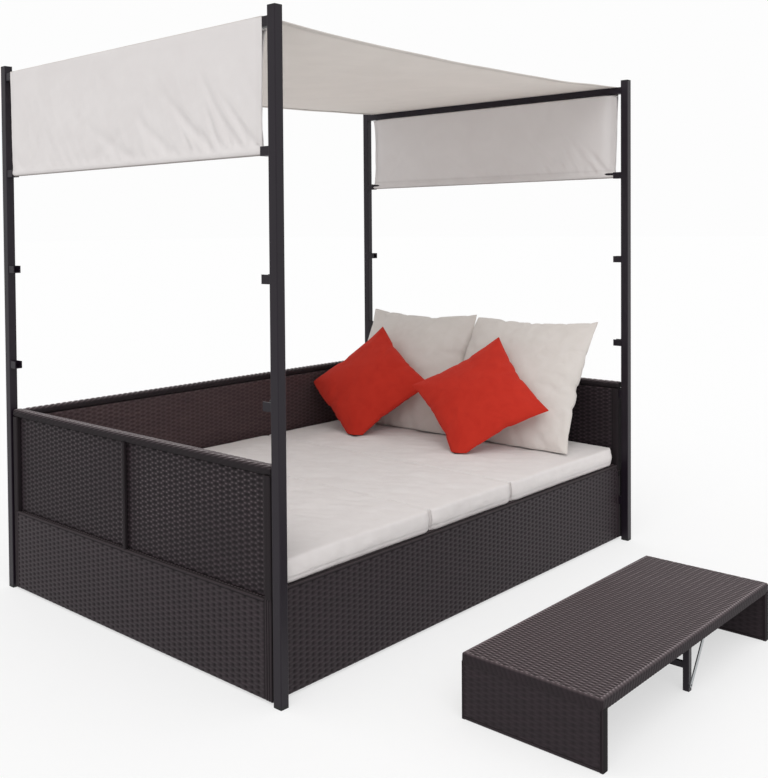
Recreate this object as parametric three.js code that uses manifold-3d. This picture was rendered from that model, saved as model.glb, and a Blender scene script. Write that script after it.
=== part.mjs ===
// Outdoor daybed with a canopy and a low folding table, in millimetres.
// X runs along the bed from its foot end to its pillow end, the open side faces -Y and the floor is z = 0.
// The origin is the middle of the bed's footprint, under the foot of its middle leg.
import * as THREE from "three";
import { mergeVertices } from "three/addons/utils/BufferGeometryUtils.js";
import Module from "manifold-3d";

const wasm = await Module();
wasm.setup();

// Whole daybed, measured over its posts
const bedLength = 1900;
const bedWidth = 1300;
const postHeight = 1750;
const fitGap = 0.3; // between pieces that touch
const weldDepth = 0.6; // how far welded pieces run into each other
const cutOverrun = 20; // how far a cutting tool runs past what it cuts

// Posts: square tube with plastic plugs at both ends
const postSide = 28;
const postWall = 1.5;
const tubeCorner = 2.5;
const footFlange = 8;
const capFlange = 3;
const plugDepth = 22;
const plugClearance = 0.4;
const postStandOff = 8; // slit between a post and the box of the bed
const spacerWidth = 18;
const spacerHeight = 30;
const spacerInset = 19; // from the post's outer face to the middle of the spacer
const lowerSpacerHeight = 150; // centre of the spacer that takes the bolt
const upperSpacerHeight = 560;

// Bolts that hold the posts
const boltDiameter = 8;
const boltClearance = 0.4;
const boltHeadDiameter = 12.6;
const boltHeadHeight = 5;
const boltInset = 22; // from the post's outer face to the bolt's axis

// Canopy: two top bars, two shade bars that hang in hooks, and one strip of cloth
const topBarSide = 25;
const topBarDrop = 25; // from the top of the post to the top of the bar
const topBarInset = 3; // from the post's outer face to the bar's
const shadeBarDiameter = 20;
const shadeBarWall = 1.2;
const shadeBarEndGap = 1;
const hookHeight = 24;
const hookPlate = 3;
const hookLength = 30;
const hookCount = 3;
const topHookDrop = 370; // from the top of the post to the bottom of the highest hook
const hookSpacing = 319;
const clothThickness = 1.2;
const canopySag = 22;
const canopyTail = 18; // how far the canopy turns down outside its bars
const canopyRipple = 1.6;
const shadeFold = 5;

// Woven walls and skirts
const boxInset = 3; // from the post's outer face to the end walls
const wallTop = 605;
const wallRecess = 12; // of the panels behind the stiles and the rail
const wallPanelThickness = 23.4;
const wallTubeWidth = 25;
const wallRailHeight = 26;
const middleStileWidth = 12;
const skirtBottom = 7;
const skirtThickness = 12;
const ledgeHeight = 265;
const frontSkirtLip = 30;
const frontSkirtLipThickness = 4;
const endWallBays = 2;
const backWallBays = 3;

// Base under the mattress
const padBottom = 288;
const slatThickness = 12;
const slatWidth = 60;
const slatCount = 5;
const slatEndGap = 1;
const ledgerWidth = 30;
const ledgerHeight = 30;
const beamWidth = 40;
const middleLegSide = 30;
const middleFootSide = 44;
const middleFootHeight = 12;

// Mattress in three pads
const leftPadLength = 640;
const middlePadLength = 445; // the right pad takes the rest
const padSeamGap = 1.5;
const padEndGap = 11.8; // between a pad and the end wall
const padThickness = 66;
const padCrown = 7;
const padEdgeRadius = 13;
const padDrawIn = 3;
const padFrontInset = 2; // behind the face of the front skirt
const padBackGap = 4;

// Pillows: two large ones lean on the right wall, two small ones stand on a corner in front of them
const backPillow = { width: 548, height: 530, front: 90, back: 126, drawIn: 26, footDrawIn: 0 };
const smallPillow = { width: 390, height: 390, front: 62, drawIn: 20, footDrawIn: 20 };
const backPillowLean = 27;
const backPillowStand = 261.3; // of its lower edge from the right wall
const backPillowSink = 4; // of its lower edge into the pad before it is pressed flat
const backPillowSideGap = 2; // between the pair
const backPillowBackGap = 24.3; // from the left one to the back wall
const leftSmallPillow = { stand: 366.3, shift: 31, rise: 191, turn: 13, lean: 37, roll: 48, back: 86 };
const rightSmallPillow = { stand: 351.3, shift: 51, rise: 187, turn: 17, lean: 38.5, roll: 37.7, back: 59 };


// Low table that stands in front of the bed
const tableLength = 1005;
const tableDepth = 370;
const tableHeight = 165;
const tableMiddleX = -173;
const tableMiddleY = -1181;
const tableEdge = 26;
const tableTopPlate = 6;
const tableRim = 17;
const tableCorner = 7;
const tableSlot = 4; // dark line between the top and its end panels
const endPanelThickness = 22;
const hingeRodDiameter = 5;
const hingeRodDrop = 0.4; // of the rod's axis below the edge of the top
const hingeKnuckleDiameter = 9;
const hingeClearance = 0.3;
const hingeKnuckleLength = 30;
const hingeLugWidth = 6;
const hingeEndInset = 22;
const tableLegX = 23; // of the leg from the middle of the table
const tableLegInset = 36; // from the table's side to the middle of the leg
const tableLegSide = 16;
const tableLegPivotHeight = 149;
const tableLegPivotDiameter = 8;
const tableLegPivotReach = 7;
const crossbarHeight = 65;
const crossbarWidth = 10;
const stayLength = 170;
const stayWidth = 12;
const stayThickness = 3;
const stayAngle = 52; // above the floor
const stayPinHeight = 16;
const stayPinDiameter = 6;

const degrees = Math.PI / 180;
const powderCoat = new THREE.MeshStandardMaterial({ color: 0x37343a, roughness: 0.5, metalness: 0.6 });
const blackPlastic = new THREE.MeshStandardMaterial({ color: 0x1c1b1d, roughness: 0.6, metalness: 0 });
const wicker = new THREE.MeshStandardMaterial({ color: 0x3a2f2f, roughness: 0.55, metalness: 0 });
const canopyCloth = new THREE.MeshStandardMaterial({
  color: 0xdcd8d0,
  roughness: 0.9,
  side: THREE.DoubleSide,
});
const creamCloth = new THREE.MeshStandardMaterial({ color: 0xdbd7cf, roughness: 0.9 });
const redCloth = new THREE.MeshStandardMaterial({ color: 0xb8352a, roughness: 0.85 });
const zincSteel = new THREE.MeshStandardMaterial({ color: 0xa9abad, roughness: 0.35, metalness: 0.9 });

const daybed = new THREE.Group();

// A box from its lowest and highest x, y and z
function box([x0, x1], [y0, y1], [z0, z1]) {
  return new THREE.BoxGeometry(x1 - x0, y1 - y0, z1 - z0).translate(
    (x0 + x1) / 2,
    (y0 + y1) / 2,
    (z0 + z1) / 2,
  );
}

// The stretch of a given width about a middle
function about(middle, width) {
  return [middle - width / 2, middle + width / 2];
}

// A round rod along Y
function rodAlongY(radius, x, [y0, y1], z, sides) {
  return new THREE.CylinderGeometry(radius, radius, y1 - y0, sides).translate(x, (y0 + y1) / 2, z);
}

// A closed mesh as a solid for boolean work
function solid(geometry) {
  const bare = geometry.clone();
  bare.deleteAttribute("normal");
  bare.deleteAttribute("uv");
  const merged = mergeVertices(bare);
  return new wasm.Manifold(
    new wasm.Mesh({
      numProp: 3,
      vertProperties: merged.attributes.position.array,
      triVerts: new Uint32Array(merged.index.array),
    }),
  );
}

function geometryOf(body) {
  const mesh = body.getMesh();
  const geometry = new THREE.BufferGeometry();
  geometry.setAttribute("position", new THREE.BufferAttribute(mesh.vertProperties, 3));
  geometry.setIndex(new THREE.BufferAttribute(mesh.triVerts, 1));
  geometry.computeVertexNormals();
  return geometry;
}

function join(pieces) {
  return geometryOf(pieces.map(solid).reduce((sum, piece) => sum.add(piece)));
}

function cut(base, tools) {
  return geometryOf(tools.map(solid).reduce((rest, tool) => rest.subtract(tool), solid(base)));
}

function add(name, geometry, material) {
  const mesh = new THREE.Mesh(geometry, material);
  mesh.name = name;
  daybed.add(mesh);
}

// Outline of a square with round corners
function roundSquare(side, corner) {
  const half = side / 2;
  const straight = half - corner;
  const outline = new THREE.Shape();
  outline.moveTo(-straight, -half);
  outline.lineTo(straight, -half);
  outline.absarc(straight, -straight, corner, -Math.PI / 2, 0);
  outline.absarc(straight, straight, corner, 0, Math.PI / 2);
  outline.absarc(-straight, straight, corner, Math.PI / 2, Math.PI);
  outline.absarc(-straight, -straight, corner, Math.PI, 1.5 * Math.PI);
  return outline;
}

// Upright square tube on the z axis, open at both ends
function squareTube(side, wall, corner, [z0, z1]) {
  const outline = roundSquare(side, corner);
  outline.holes.push(roundSquare(side - 2 * wall, corner - wall));
  return new THREE.ExtrudeGeometry(outline, {
    depth: z1 - z0,
    bevelEnabled: false,
    curveSegments: 3,
  }).translate(0, 0, z0);
}

const halfLength = bedLength / 2;
const halfWidth = bedWidth / 2;
const postX = halfLength - postSide / 2;
const postY = halfWidth - postSide / 2;
const postInnerY = halfWidth - postSide;
const boxX = halfLength - boxInset;
const boxY = postInnerY - postStandOff;
const boltX = halfLength - boltInset;
const corners = [
  { place: "back_left", sideX: -1, sideY: 1 },
  { place: "front_left", sideX: -1, sideY: -1 },
  { place: "front_right", sideX: 1, sideY: -1 },
  { place: "back_right", sideX: 1, sideY: 1 },
];

// Interval between two distances from the middle, on the side that sign names
function onSide(sign, near, far) {
  return sign < 0 ? [-far, -near] : [near, far];
}

// Shade hook: a cradle, open at the top, that the end of a shade bar drops into
const topHookBase = postHeight - topHookDrop;
const topBarX = halfLength - topBarInset - topBarSide / 2;
const hookInside = shadeBarDiameter + 2 * fitGap;
const hookWidth = hookInside + 2 * hookPlate;

function hook(sideX, sideY, base) {
  const y = onSide(sideY, postInnerY - hookLength, postInnerY + weldDepth);
  const block = box(about(sideX * topBarX, hookWidth), y, [base, base + hookHeight]);
  const trough = onSide(sideY, postInnerY - hookLength - cutOverrun, postInnerY);
  return cut(block, [
    box(about(sideX * topBarX, hookInside), trough, [base + hookPlate, base + hookHeight + cutOverrun]),
  ]);
}

function spacer(sideX, sideY, middle) {
  const y = onSide(sideY, boxY + fitGap, postInnerY + weldDepth);
  const x = about(sideX * (halfLength - spacerInset), spacerWidth);
  return box(x, y, about(middle, spacerHeight));
}

function boltHole(sideX, sideY) {
  const y = onSide(sideY, boxY - skirtThickness - cutOverrun, postInnerY + postWall + cutOverrun / 4);
  return rodAlongY(boltDiameter / 2 + boltClearance, sideX * boltX, y, lowerSpacerHeight, 16);
}

// Posts, each with its spacers and three hooks welded on
for (const { place, sideX, sideY } of corners) {
  const tube = squareTube(postSide, postWall, tubeCorner, [footFlange, postHeight - capFlange]);
  const pieces = [
    tube.translate(sideX * postX, sideY * postY, 0),
    spacer(sideX, sideY, lowerSpacerHeight),
    spacer(sideX, sideY, upperSpacerHeight),
  ];
  for (let level = 0; level < hookCount; level++)
    pieces.push(hook(sideX, sideY, topHookBase - level * hookSpacing));
  add(`post_${place}`, cut(join(pieces), [boltHole(sideX, sideY)]), powderCoat);
}

// Plugs: a flange as wide as the tube and a spigot inside it
const spigotSide = postSide - 2 * postWall - 2 * plugClearance;

function flange(height, z) {
  return new THREE.ExtrudeGeometry(roundSquare(postSide, tubeCorner), {
    depth: height,
    bevelEnabled: false,
    curveSegments: 3,
  }).translate(0, 0, z);
}

for (const { place, sideX, sideY } of corners) {
  const spigot = about(0, spigotSide);
  const foot = join([
    flange(footFlange - fitGap, 0),
    box(spigot, spigot, [footFlange / 2, footFlange + plugDepth]),
  ]);
  add(`post_foot_${place}`, foot.translate(sideX * postX, sideY * postY, 0), blackPlastic);
  const capBottom = postHeight - capFlange;
  const cap = join([
    flange(capFlange - fitGap, capBottom + fitGap),
    box(spigot, spigot, [capBottom - plugDepth, postHeight - capFlange / 2]),
  ]);
  add(`post_cap_${place}`, cap.translate(sideX * postX, sideY * postY, 0), blackPlastic);
}

// Bolts: the head lies inside the box and the shank runs through skirt and spacer into the post
for (const { place, sideX, sideY } of corners) {
  const seat = boxY - skirtThickness - fitGap;
  const shank = onSide(sideY, seat - boltHeadHeight / 2, postInnerY + postWall);
  const head = onSide(sideY, seat - boltHeadHeight, seat);
  const bolt = join([
    rodAlongY(boltDiameter / 2, sideX * boltX, shank, lowerSpacerHeight, 16),
    rodAlongY(boltHeadDiameter / 2, sideX * boltX, head, lowerSpacerHeight, 6),
  ]);
  add(`post_bolt_${place}`, bolt, zincSteel);
}

// Top bars between the posts of each end
const barTop = postHeight - topBarDrop;
const barHalf = postInnerY - fitGap;
for (const [place, side] of [["left", -1], ["right", 1]]) {
  const bar = box(about(side * topBarX, topBarSide), [-barHalf, barHalf], [barTop - topBarSide, barTop]);
  add(`top_bar_${place}`, bar, powderCoat);
}

// Shade bars: round tubes that hang in the upper hooks
const shadeBarZ = topHookBase + hookPlate + fitGap + shadeBarDiameter / 2;
for (const [place, side] of [["left", -1], ["right", 1]]) {
  const reach = postInnerY - shadeBarEndGap;
  const outer = rodAlongY(shadeBarDiameter / 2, side * topBarX, [-reach, reach], shadeBarZ, 20);
  const bore = rodAlongY(
    shadeBarDiameter / 2 - shadeBarWall,
    side * topBarX,
    [-reach - cutOverrun, reach + cutOverrun],
    shadeBarZ,
    20,
  );
  add(`shade_bar_${place}`, cut(outer, [bore]), powderCoat);
}

// A sheet of even thickness about the surface point(u, v), with u and v from 0 to 1
function sheet(point, countU, countV, thickness) {
  const rows = countU + 1;
  const columns = countV + 1;
  const step = 1e-4;
  const positions = [];
  for (const side of [-1, 1])
    for (let i = 0; i < rows; i++)
      for (let j = 0; j < columns; j++) {
        const u = i / countU;
        const v = j / countV;
        const alongU = point(u + step, v).sub(point(u - step, v));
        const alongV = point(u, v + step).sub(point(u, v - step));
        const normal = alongU.cross(alongV).normalize();
        positions.push(...point(u, v).addScaledVector(normal, (side * thickness) / 2));
      }
  const at = (layer, i, j) => (layer * rows + i) * columns + j;
  const faces = [];
  const quad = (a, b, c, d) => faces.push(a, b, c, a, c, d);
  for (let i = 0; i < countU; i++)
    for (let j = 0; j < countV; j++) {
      quad(at(1, i, j), at(1, i + 1, j), at(1, i + 1, j + 1), at(1, i, j + 1));
      quad(at(0, i, j), at(0, i, j + 1), at(0, i + 1, j + 1), at(0, i + 1, j));
    }
  for (let i = 0; i < countU; i++) {
    quad(at(0, i, 0), at(0, i + 1, 0), at(1, i + 1, 0), at(1, i, 0));
    quad(at(1, i, countV), at(1, i + 1, countV), at(0, i + 1, countV), at(0, i, countV));
  }
  for (let j = 0; j < countV; j++) {
    quad(at(1, 0, j), at(1, 0, j + 1), at(0, 0, j + 1), at(0, 0, j));
    quad(at(0, countU, j), at(0, countU, j + 1), at(1, countU, j + 1), at(1, countU, j));
  }
  const geometry = new THREE.BufferGeometry();
  geometry.setAttribute("position", new THREE.Float32BufferAttribute(positions, 3));
  geometry.setIndex(faces);
  geometry.computeVertexNormals();
  return geometry;
}

// A point a share of the way along a line of points
function along(points, share) {
  const place = Math.min(Math.max(share, 0), 1) * (points.length - 1);
  const start = Math.min(Math.floor(place), points.length - 2);
  return points[start].clone().lerp(points[start + 1], place - start);
}

// Canopy: over both bars, sagging between them, with a short tail down outside each
const clothSeat = fitGap + clothThickness / 2; // from a bar to the middle of the cloth on it
const clothHalf = postInnerY - hookLength;
const shadeTop = barTop + clothSeat;
const canopyTop = barTop + 2 * clothSeat + clothThickness / 2;
const canopyTailX = topBarX + topBarSide / 2 + 2 * clothSeat + clothThickness / 2;
const canopySpan = topBarX - topBarSide / 2;
const canopyCells = 20;
const canopyRow = [];
for (let i = 0; i <= canopyCells; i++) {
  const share = (2 * i) / canopyCells - 1;
  canopyRow.push(new THREE.Vector2(share * canopySpan, canopyTop - canopySag * (1 - share * share)));
}
const canopyProfile = [
  new THREE.Vector2(-canopyTailX, barTop - canopyTail),
  new THREE.Vector2(-canopyTailX, canopyTop - clothSeat),
  new THREE.Vector2(clothSeat - canopyTailX, canopyTop),
  ...canopyRow,
  new THREE.Vector2(canopyTailX - clothSeat, canopyTop),
  new THREE.Vector2(canopyTailX, canopyTop - clothSeat),
  new THREE.Vector2(canopyTailX, barTop - canopyTail),
];
// Tension ripples run along X and fade out at the bars
const canopyRipples = 3;
function canopyPoint(u, v) {
  const place = along(canopyProfile, u);
  const slack = Math.max(0, 1 - (place.x / canopySpan) ** 2);
  const ripple = canopyRipple * Math.sin(canopyRipples * 2 * Math.PI * v) * slack;
  return new THREE.Vector3(place.x, clothHalf * (1 - 2 * v), place.y + ripple);
}
add(
  "canopy_top",
  sheet(canopyPoint, canopyProfile.length - 1, 8, clothThickness),
  canopyCloth,
);

// Side shades: each strip lies over its bar, hangs outside it, turns round the shade bar, comes back up
// inside and is tucked in under the top bar
const shadeCells = 5;
const turnCells = 6; // of the half turn round the shade bar
const shadeBarReach = (shadeBarDiameter / 2 + clothSeat) / Math.cos(Math.PI / 2 / turnCells);
const barBottom = barTop - topBarSide;
const hangTop = barBottom - 2 * clothSeat;
const hangBottom = shadeBarZ + shadeBarDiameter / 2;

function hang(fromX, fromZ, toX, toZ) {
  const points = [];
  for (let i = 0; i <= shadeCells; i++)
    points.push(new THREE.Vector2(fromX, fromZ).lerp(new THREE.Vector2(toX, toZ), i / shadeCells));
  return points;
}

function shadeProfile(side) {
  const half = topBarSide / 2;
  const points = [
    new THREE.Vector2(-half, shadeTop),
    new THREE.Vector2(half, shadeTop),
    new THREE.Vector2(half + clothSeat, barTop - clothSeat),
    ...hang(half + clothSeat, hangTop, shadeBarReach, hangBottom),
  ];
  for (let i = 0; i <= turnCells; i++) {
    const angle = (Math.PI * i) / turnCells;
    points.push(
      new THREE.Vector2(shadeBarReach * Math.cos(angle), shadeBarZ - shadeBarReach * Math.sin(angle)),
    );
  }
  points.push(...hang(-shadeBarReach, hangBottom, clothSeat - half, hangTop));
  points.push(new THREE.Vector2(2 * clothSeat - half, barBottom - clothSeat));
  points.push(new THREE.Vector2(half - 2 * clothSeat, barBottom - clothSeat));
  return points.map((place) => new THREE.Vector2(side * (topBarX + place.x), place.y));
}

// Folds fan out from the lower front corner and fade out at both bars
const fanShares = { centre: 1.15, folds: 9, still: 0.35 };
function foldDepth(z, front) {
  const share = Math.min(Math.max((z - hangBottom) / (hangTop - hangBottom), 0), 1);
  const fan = Math.atan2(share, fanShares.centre - front);
  const reach = fanShares.still + (1 - fanShares.still) * front;
  return shadeFold * Math.sin((fanShares.folds * fan) / 2) ** 2 * Math.sin(Math.PI * share) * reach;
}

function shadePoint(side, profile) {
  return (u, v) => {
    const place = along(profile, u);
    const front = side < 0 ? v : 1 - v;
    return new THREE.Vector3(
      place.x - side * foldDepth(place.y, front),
      side * clothHalf * (2 * v - 1),
      place.y,
    );
  };
}

for (const [place, side] of [["left", -1], ["right", 1]]) {
  const profile = shadeProfile(side);
  const cloth = sheet(shadePoint(side, profile), profile.length - 1, 10, clothThickness);
  add(`shade_${place}`, cloth, canopyCloth);
}

// End walls: a frame of tubes stands on the skirt, and a panel woven on both sides fills it, flush inside
const wallInnerX = boxX - wallRecess - fitGap - wallPanelThickness;
const wallInnerY = boxY - wallRecess - fitGap - wallPanelThickness;
const stileZ = [ledgeHeight + fitGap, wallTop - weldDepth];
const railBottom = wallTop - wallRailHeight;
const sillBottom = ledgeHeight - wallTubeWidth;
const weaveZ = [ledgeHeight + fitGap, railBottom - fitGap];

// Middles of the uprights that part a wall of a given half length into bays
function uprights(half, bays) {
  const middles = [];
  for (let i = 1; i < bays; i++) middles.push(half * ((2 * i) / bays - 1));
  return middles;
}

for (const [place, side] of [["left", -1], ["right", 1]]) {
  const frameX = onSide(side, wallInnerX, boxX);
  const stileX = onSide(side, boxX - wallRecess, boxX);
  const behindSkirt = onSide(side, wallInnerX, boxX - skirtThickness - fitGap);
  const skirtEnd = boxY - skirtThickness - fitGap;
  const pieces = [
    box(frameX, [-boxY, boxY], [railBottom, wallTop]),
    box(behindSkirt, [-skirtEnd, skirtEnd], [sillBottom, ledgeHeight]),
  ];
  for (const end of [-1, 1]) {
    pieces.push(box(frameX, onSide(end, boxY - wallTubeWidth, boxY), stileZ));
    pieces.push(
      box(behindSkirt, onSide(end, boxY - wallTubeWidth, skirtEnd), [sillBottom, wallTop - weldDepth]),
    );
  }
  for (const middle of uprights(boxY, endWallBays))
    pieces.push(box(stileX, about(middle, middleStileWidth), stileZ));
  add(`${place}_wall_frame`, join(pieces), wicker);
  const panelX = onSide(side, wallInnerX, wallInnerX + wallPanelThickness);
  const panelEnd = boxY - wallTubeWidth - fitGap;
  add(`${place}_wall_weave`, box(panelX, [-panelEnd, panelEnd], weaveZ), wicker);
  const skirtX = onSide(side, boxX - skirtThickness, boxX);
  add(`${place}_skirt`, box(skirtX, [-boxY, boxY], [skirtBottom, ledgeHeight]), wicker);
}

// Back wall, between the end walls
const backHalf = wallInnerX - fitGap;
const backFrameY = [wallInnerY, boxY];
const backSillY = [wallInnerY, boxY - skirtThickness - fitGap];
const backPieces = [
  box([-backHalf, backHalf], backFrameY, [railBottom, wallTop]),
  box([-backHalf, backHalf], backSillY, [sillBottom, ledgeHeight]),
];
for (const stretch of [[-backHalf, wallTubeWidth - backHalf], [backHalf - wallTubeWidth, backHalf]]) {
  backPieces.push(box(stretch, backFrameY, stileZ));
  backPieces.push(box(stretch, backSillY, [sillBottom, wallTop - weldDepth]));
}
for (const middle of uprights(backHalf, backWallBays))
  backPieces.push(box(about(middle, middleStileWidth), [boxY - wallRecess, boxY], stileZ));
add("back_wall_frame", join(backPieces), wicker);
const backPanelEnd = backHalf - wallTubeWidth - fitGap;
const backPanelY = [wallInnerY, wallInnerY + wallPanelThickness];
add("back_wall_weave", box([-backPanelEnd, backPanelEnd], backPanelY, weaveZ), wicker);

// Front and back skirts fit between the end skirts, and are drilled for the post bolts
const skirtHalf = boxX - skirtThickness - fitGap;
const skirtHoles = (sideY) => [boltHole(-1, sideY), boltHole(1, sideY)];
const backSkirt = box([-skirtHalf, skirtHalf], [boxY - skirtThickness, boxY], [skirtBottom, ledgeHeight]);
add("back_skirt", cut(backSkirt, skirtHoles(1)), wicker);
const frontTop = padBottom - fitGap;
const frontFaceY = [-boxY, -boxY + skirtThickness];
const betweenWalls = [-wallInnerX + fitGap, wallInnerX - fitGap];
const frontSkirt = join([
  box([-skirtHalf, skirtHalf], frontFaceY, [skirtBottom, ledgeHeight]),
  box(betweenWalls, frontFaceY, [ledgeHeight - weldDepth, frontTop]),
  box(betweenWalls, [-boxY, -boxY + frontSkirtLip], [frontTop - frontSkirtLipThickness, frontTop]),
]);
add("front_skirt", cut(frontSkirt, skirtHoles(-1)), wicker);

// Base: two ledgers, a middle beam on one leg, and slats across them
const ledgerTop = padBottom - slatThickness - 2 * fitGap;
const ledgerZ = [ledgerTop - ledgerHeight, ledgerTop];
const ledgerHalf = wallInnerX - fitGap;
const backLedgerEdge = wallInnerY - fitGap;
const frontLedgerEdge = -boxY + skirtThickness + fitGap;
add(
  "ledger_back",
  box([-ledgerHalf, ledgerHalf], [backLedgerEdge - ledgerWidth, backLedgerEdge], ledgerZ),
  powderCoat,
);
add(
  "ledger_front",
  box([-ledgerHalf, ledgerHalf], [frontLedgerEdge, frontLedgerEdge + ledgerWidth], ledgerZ),
  powderCoat,
);
add("middle_beam", box([-ledgerHalf, ledgerHalf], about(0, beamWidth), ledgerZ), powderCoat);
const legStretch = about(0, middleLegSide);
add(
  "middle_leg",
  box(legStretch, legStretch, [middleFootHeight + fitGap, ledgerTop - ledgerHeight - fitGap]),
  powderCoat,
);
const footStretch = about(0, middleFootSide);
add("middle_foot", box(footStretch, footStretch, [0, middleFootHeight]), blackPlastic);

const slatZ = [ledgerTop + fitGap, ledgerTop + fitGap + slatThickness];
const slatStart = -boxY + frontSkirtLip + slatEndGap;
const slatEnd = wallInnerY - slatEndGap;
for (let i = 0; i < slatCount; i++) {
  const middle = ledgerHalf * ((2 * (i + 0.5)) / slatCount - 1);
  add(`slat_${i + 1}`, box(about(middle, slatWidth), [slatStart, slatEnd], slatZ), powderCoat);
}

// Mattress pad: round edges, a crown, and sides that pull in between the corners
const padRingShares = [-1, -0.5, 0, 0, 0.5, 1]; // of a quarter turn, from the lower edge to the upper

function padGeometry(length, depth) {
  const cells = { x: 9, y: 12, z: padRingShares.length - 1 };
  const geometry = new THREE.BoxGeometry(2, 2, 2, cells.x, cells.y, cells.z);
  const place = geometry.attributes.position;
  for (let i = 0; i < place.count; i++) {
    const u = place.getX(i);
    const v = place.getY(i);
    const ring = Math.round(((place.getZ(i) + 1) / 2) * cells.z);
    const turn = (padRingShares[ring] * Math.PI) / 2;
    const inset = padEdgeRadius * (1 - Math.cos(turn));
    const level = Math.sign(ring - cells.z / 2) * (padThickness / 2 - padEdgeRadius);
    const crown = ring === cells.z ? padCrown * (1 - u ** 4) * (1 - v ** 4) : 0;
    place.setXYZ(
      i,
      u * (length / 2 - inset - padDrawIn * (1 - v * v)),
      v * (depth / 2 - inset - padDrawIn * (1 - u * u)),
      level + padEdgeRadius * Math.sin(turn) + padThickness / 2 + crown,
    );
  }
  geometry.computeVertexNormals();
  return geometry;
}

const padFrontY = -boxY + padFrontInset;
const padBackY = wallInnerY - padBackGap;
let padStart = padEndGap - wallInnerX;
const rightPadLength = wallInnerX - padEndGap - padStart - leftPadLength - middlePadLength - 2 * padSeamGap;
const padLengths = { left: leftPadLength, middle: middlePadLength, right: rightPadLength };
for (const [place, length] of Object.entries(padLengths)) {
  const pad = padGeometry(length, padBackY - padFrontY);
  add(
    `pad_${place}`,
    pad.translate(padStart + length / 2, (padFrontY + padBackY) / 2, padBottom),
    creamCloth,
  );
  padStart += length + padSeamGap;
}

// Pillow in its own plane: pointed corners, sides that draw in, and a crown that thins to the seam
function pillowGeometry({ width, height, front, back, drawIn, footDrawIn }) {
  const cells = 14;
  const positions = [];
  const columns = cells + 1;
  for (const rise of [-back, front])
    for (let i = 0; i < columns; i++)
      for (let j = 0; j < columns; j++) {
        const u = Math.sin((Math.PI / 2) * ((2 * i) / cells - 1));
        const v = Math.sin((Math.PI / 2) * ((2 * j) / cells - 1));
        const swell = Math.sqrt((1 - u * u) * (1 - v * v));
        positions.push(
          u * (width / 2 - drawIn * (1 - v * v)),
          v * (height / 2 - (v < 0 ? footDrawIn : drawIn) * (1 - u * u)),
          rise * swell,
        );
      }
  const at = (layer, i, j) => (layer * columns + i) * columns + j;
  const faces = [];
  for (let i = 0; i < cells; i++)
    for (let j = 0; j < cells; j++) {
      faces.push(at(1, i, j), at(1, i + 1, j), at(1, i + 1, j + 1));
      faces.push(at(1, i, j), at(1, i + 1, j + 1), at(1, i, j + 1));
      faces.push(at(0, i, j), at(0, i + 1, j + 1), at(0, i + 1, j));
      faces.push(at(0, i, j), at(0, i, j + 1), at(0, i + 1, j + 1));
    }
  const geometry = new THREE.BufferGeometry();
  geometry.setAttribute("position", new THREE.Float32BufferAttribute(positions, 3));
  geometry.setIndex(faces);
  return geometry;
}

// Turns a pillow's plane: its face looks to -X, turned towards -Y, leaning back, and rolled in its plane
function pillowFrame(turn, lean, roll) {
  const face = new THREE.Vector3(
    -Math.cos(turn) * Math.cos(lean),
    -Math.sin(turn) * Math.cos(lean),
    Math.sin(lean),
  );
  const across = new THREE.Vector3(Math.sin(turn), -Math.cos(turn), 0);
  const up = new THREE.Vector3().crossVectors(face, across);
  const first = across.clone().multiplyScalar(Math.cos(roll)).addScaledVector(up, Math.sin(roll));
  const second = up.clone().multiplyScalar(Math.cos(roll)).addScaledVector(across, -Math.sin(roll));
  return new THREE.Matrix4().makeBasis(first, second, face);
}

// What lies below the mattress is pressed flat
const padTop = padBottom + padThickness + padCrown;
function pressedFlat(pillow) {
  const below = box([0, bedLength], [-bedWidth, bedWidth], [-padTop, padTop + fitGap]);
  return cut(pillow, [below]);
}

const leanAngle = backPillowLean * degrees;
const leftPillowY = wallInnerY - backPillowBackGap - backPillow.width / 2;
const rightPillowY = leftPillowY - backPillow.width - backPillowSideGap;
for (const [name, middleY] of [["pillow_cream_left", leftPillowY], ["pillow_cream_right", rightPillowY]]) {
  const pillow = pillowGeometry(backPillow)
    .applyMatrix4(pillowFrame(0, leanAngle, 0))
    .translate(
      wallInnerX - backPillowStand + (backPillow.height / 2) * Math.sin(leanAngle),
      middleY,
      padTop - backPillowSink + (backPillow.height / 2) * Math.cos(leanAngle),
    );
  add(name, pressedFlat(pillow), creamCloth);
}

// A small pillow stands off the right wall, to one side of the middle of the pillow behind it
const smallPillows = [
  ["pillow_red_left", leftSmallPillow, leftPillowY],
  ["pillow_red_right", rightSmallPillow, rightPillowY],
];
for (const [name, pose, behindY] of smallPillows) {
  const pillow = pillowGeometry({ ...smallPillow, back: pose.back })
    .applyMatrix4(pillowFrame(pose.turn * degrees, pose.lean * degrees, pose.roll * degrees))
    .translate(wallInnerX - pose.stand, behindY + pose.shift, padTop + pose.rise);
  add(name, pressedFlat(pillow), redCloth);
}

// Table top: a woven tray, its rim round the edge tube and its plate on top
const tableX = about(tableMiddleX, tableLength);
const tableY = about(tableMiddleY, tableDepth);
const rimBottom = tableHeight - tableEdge;
const plateBottom = tableHeight - tableTopPlate;
const pivotX = tableMiddleX + tableLegX;

// A flat slab whose edges are rounded all round
function roundedSlab([x0, x1], [y0, y1], [z0, z1], radius) {
  const outline = new THREE.Shape();
  outline.moveTo(x0 + radius, y0 + radius);
  outline.lineTo(x1 - radius, y0 + radius);
  outline.lineTo(x1 - radius, y1 - radius);
  outline.lineTo(x0 + radius, y1 - radius);
  outline.closePath();
  return new THREE.ExtrudeGeometry(outline, {
    depth: z1 - z0 - 2 * radius,
    bevelThickness: radius,
    bevelSize: radius,
    bevelSegments: 4,
  }).translate(0, 0, z0 + radius);
}

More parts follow.
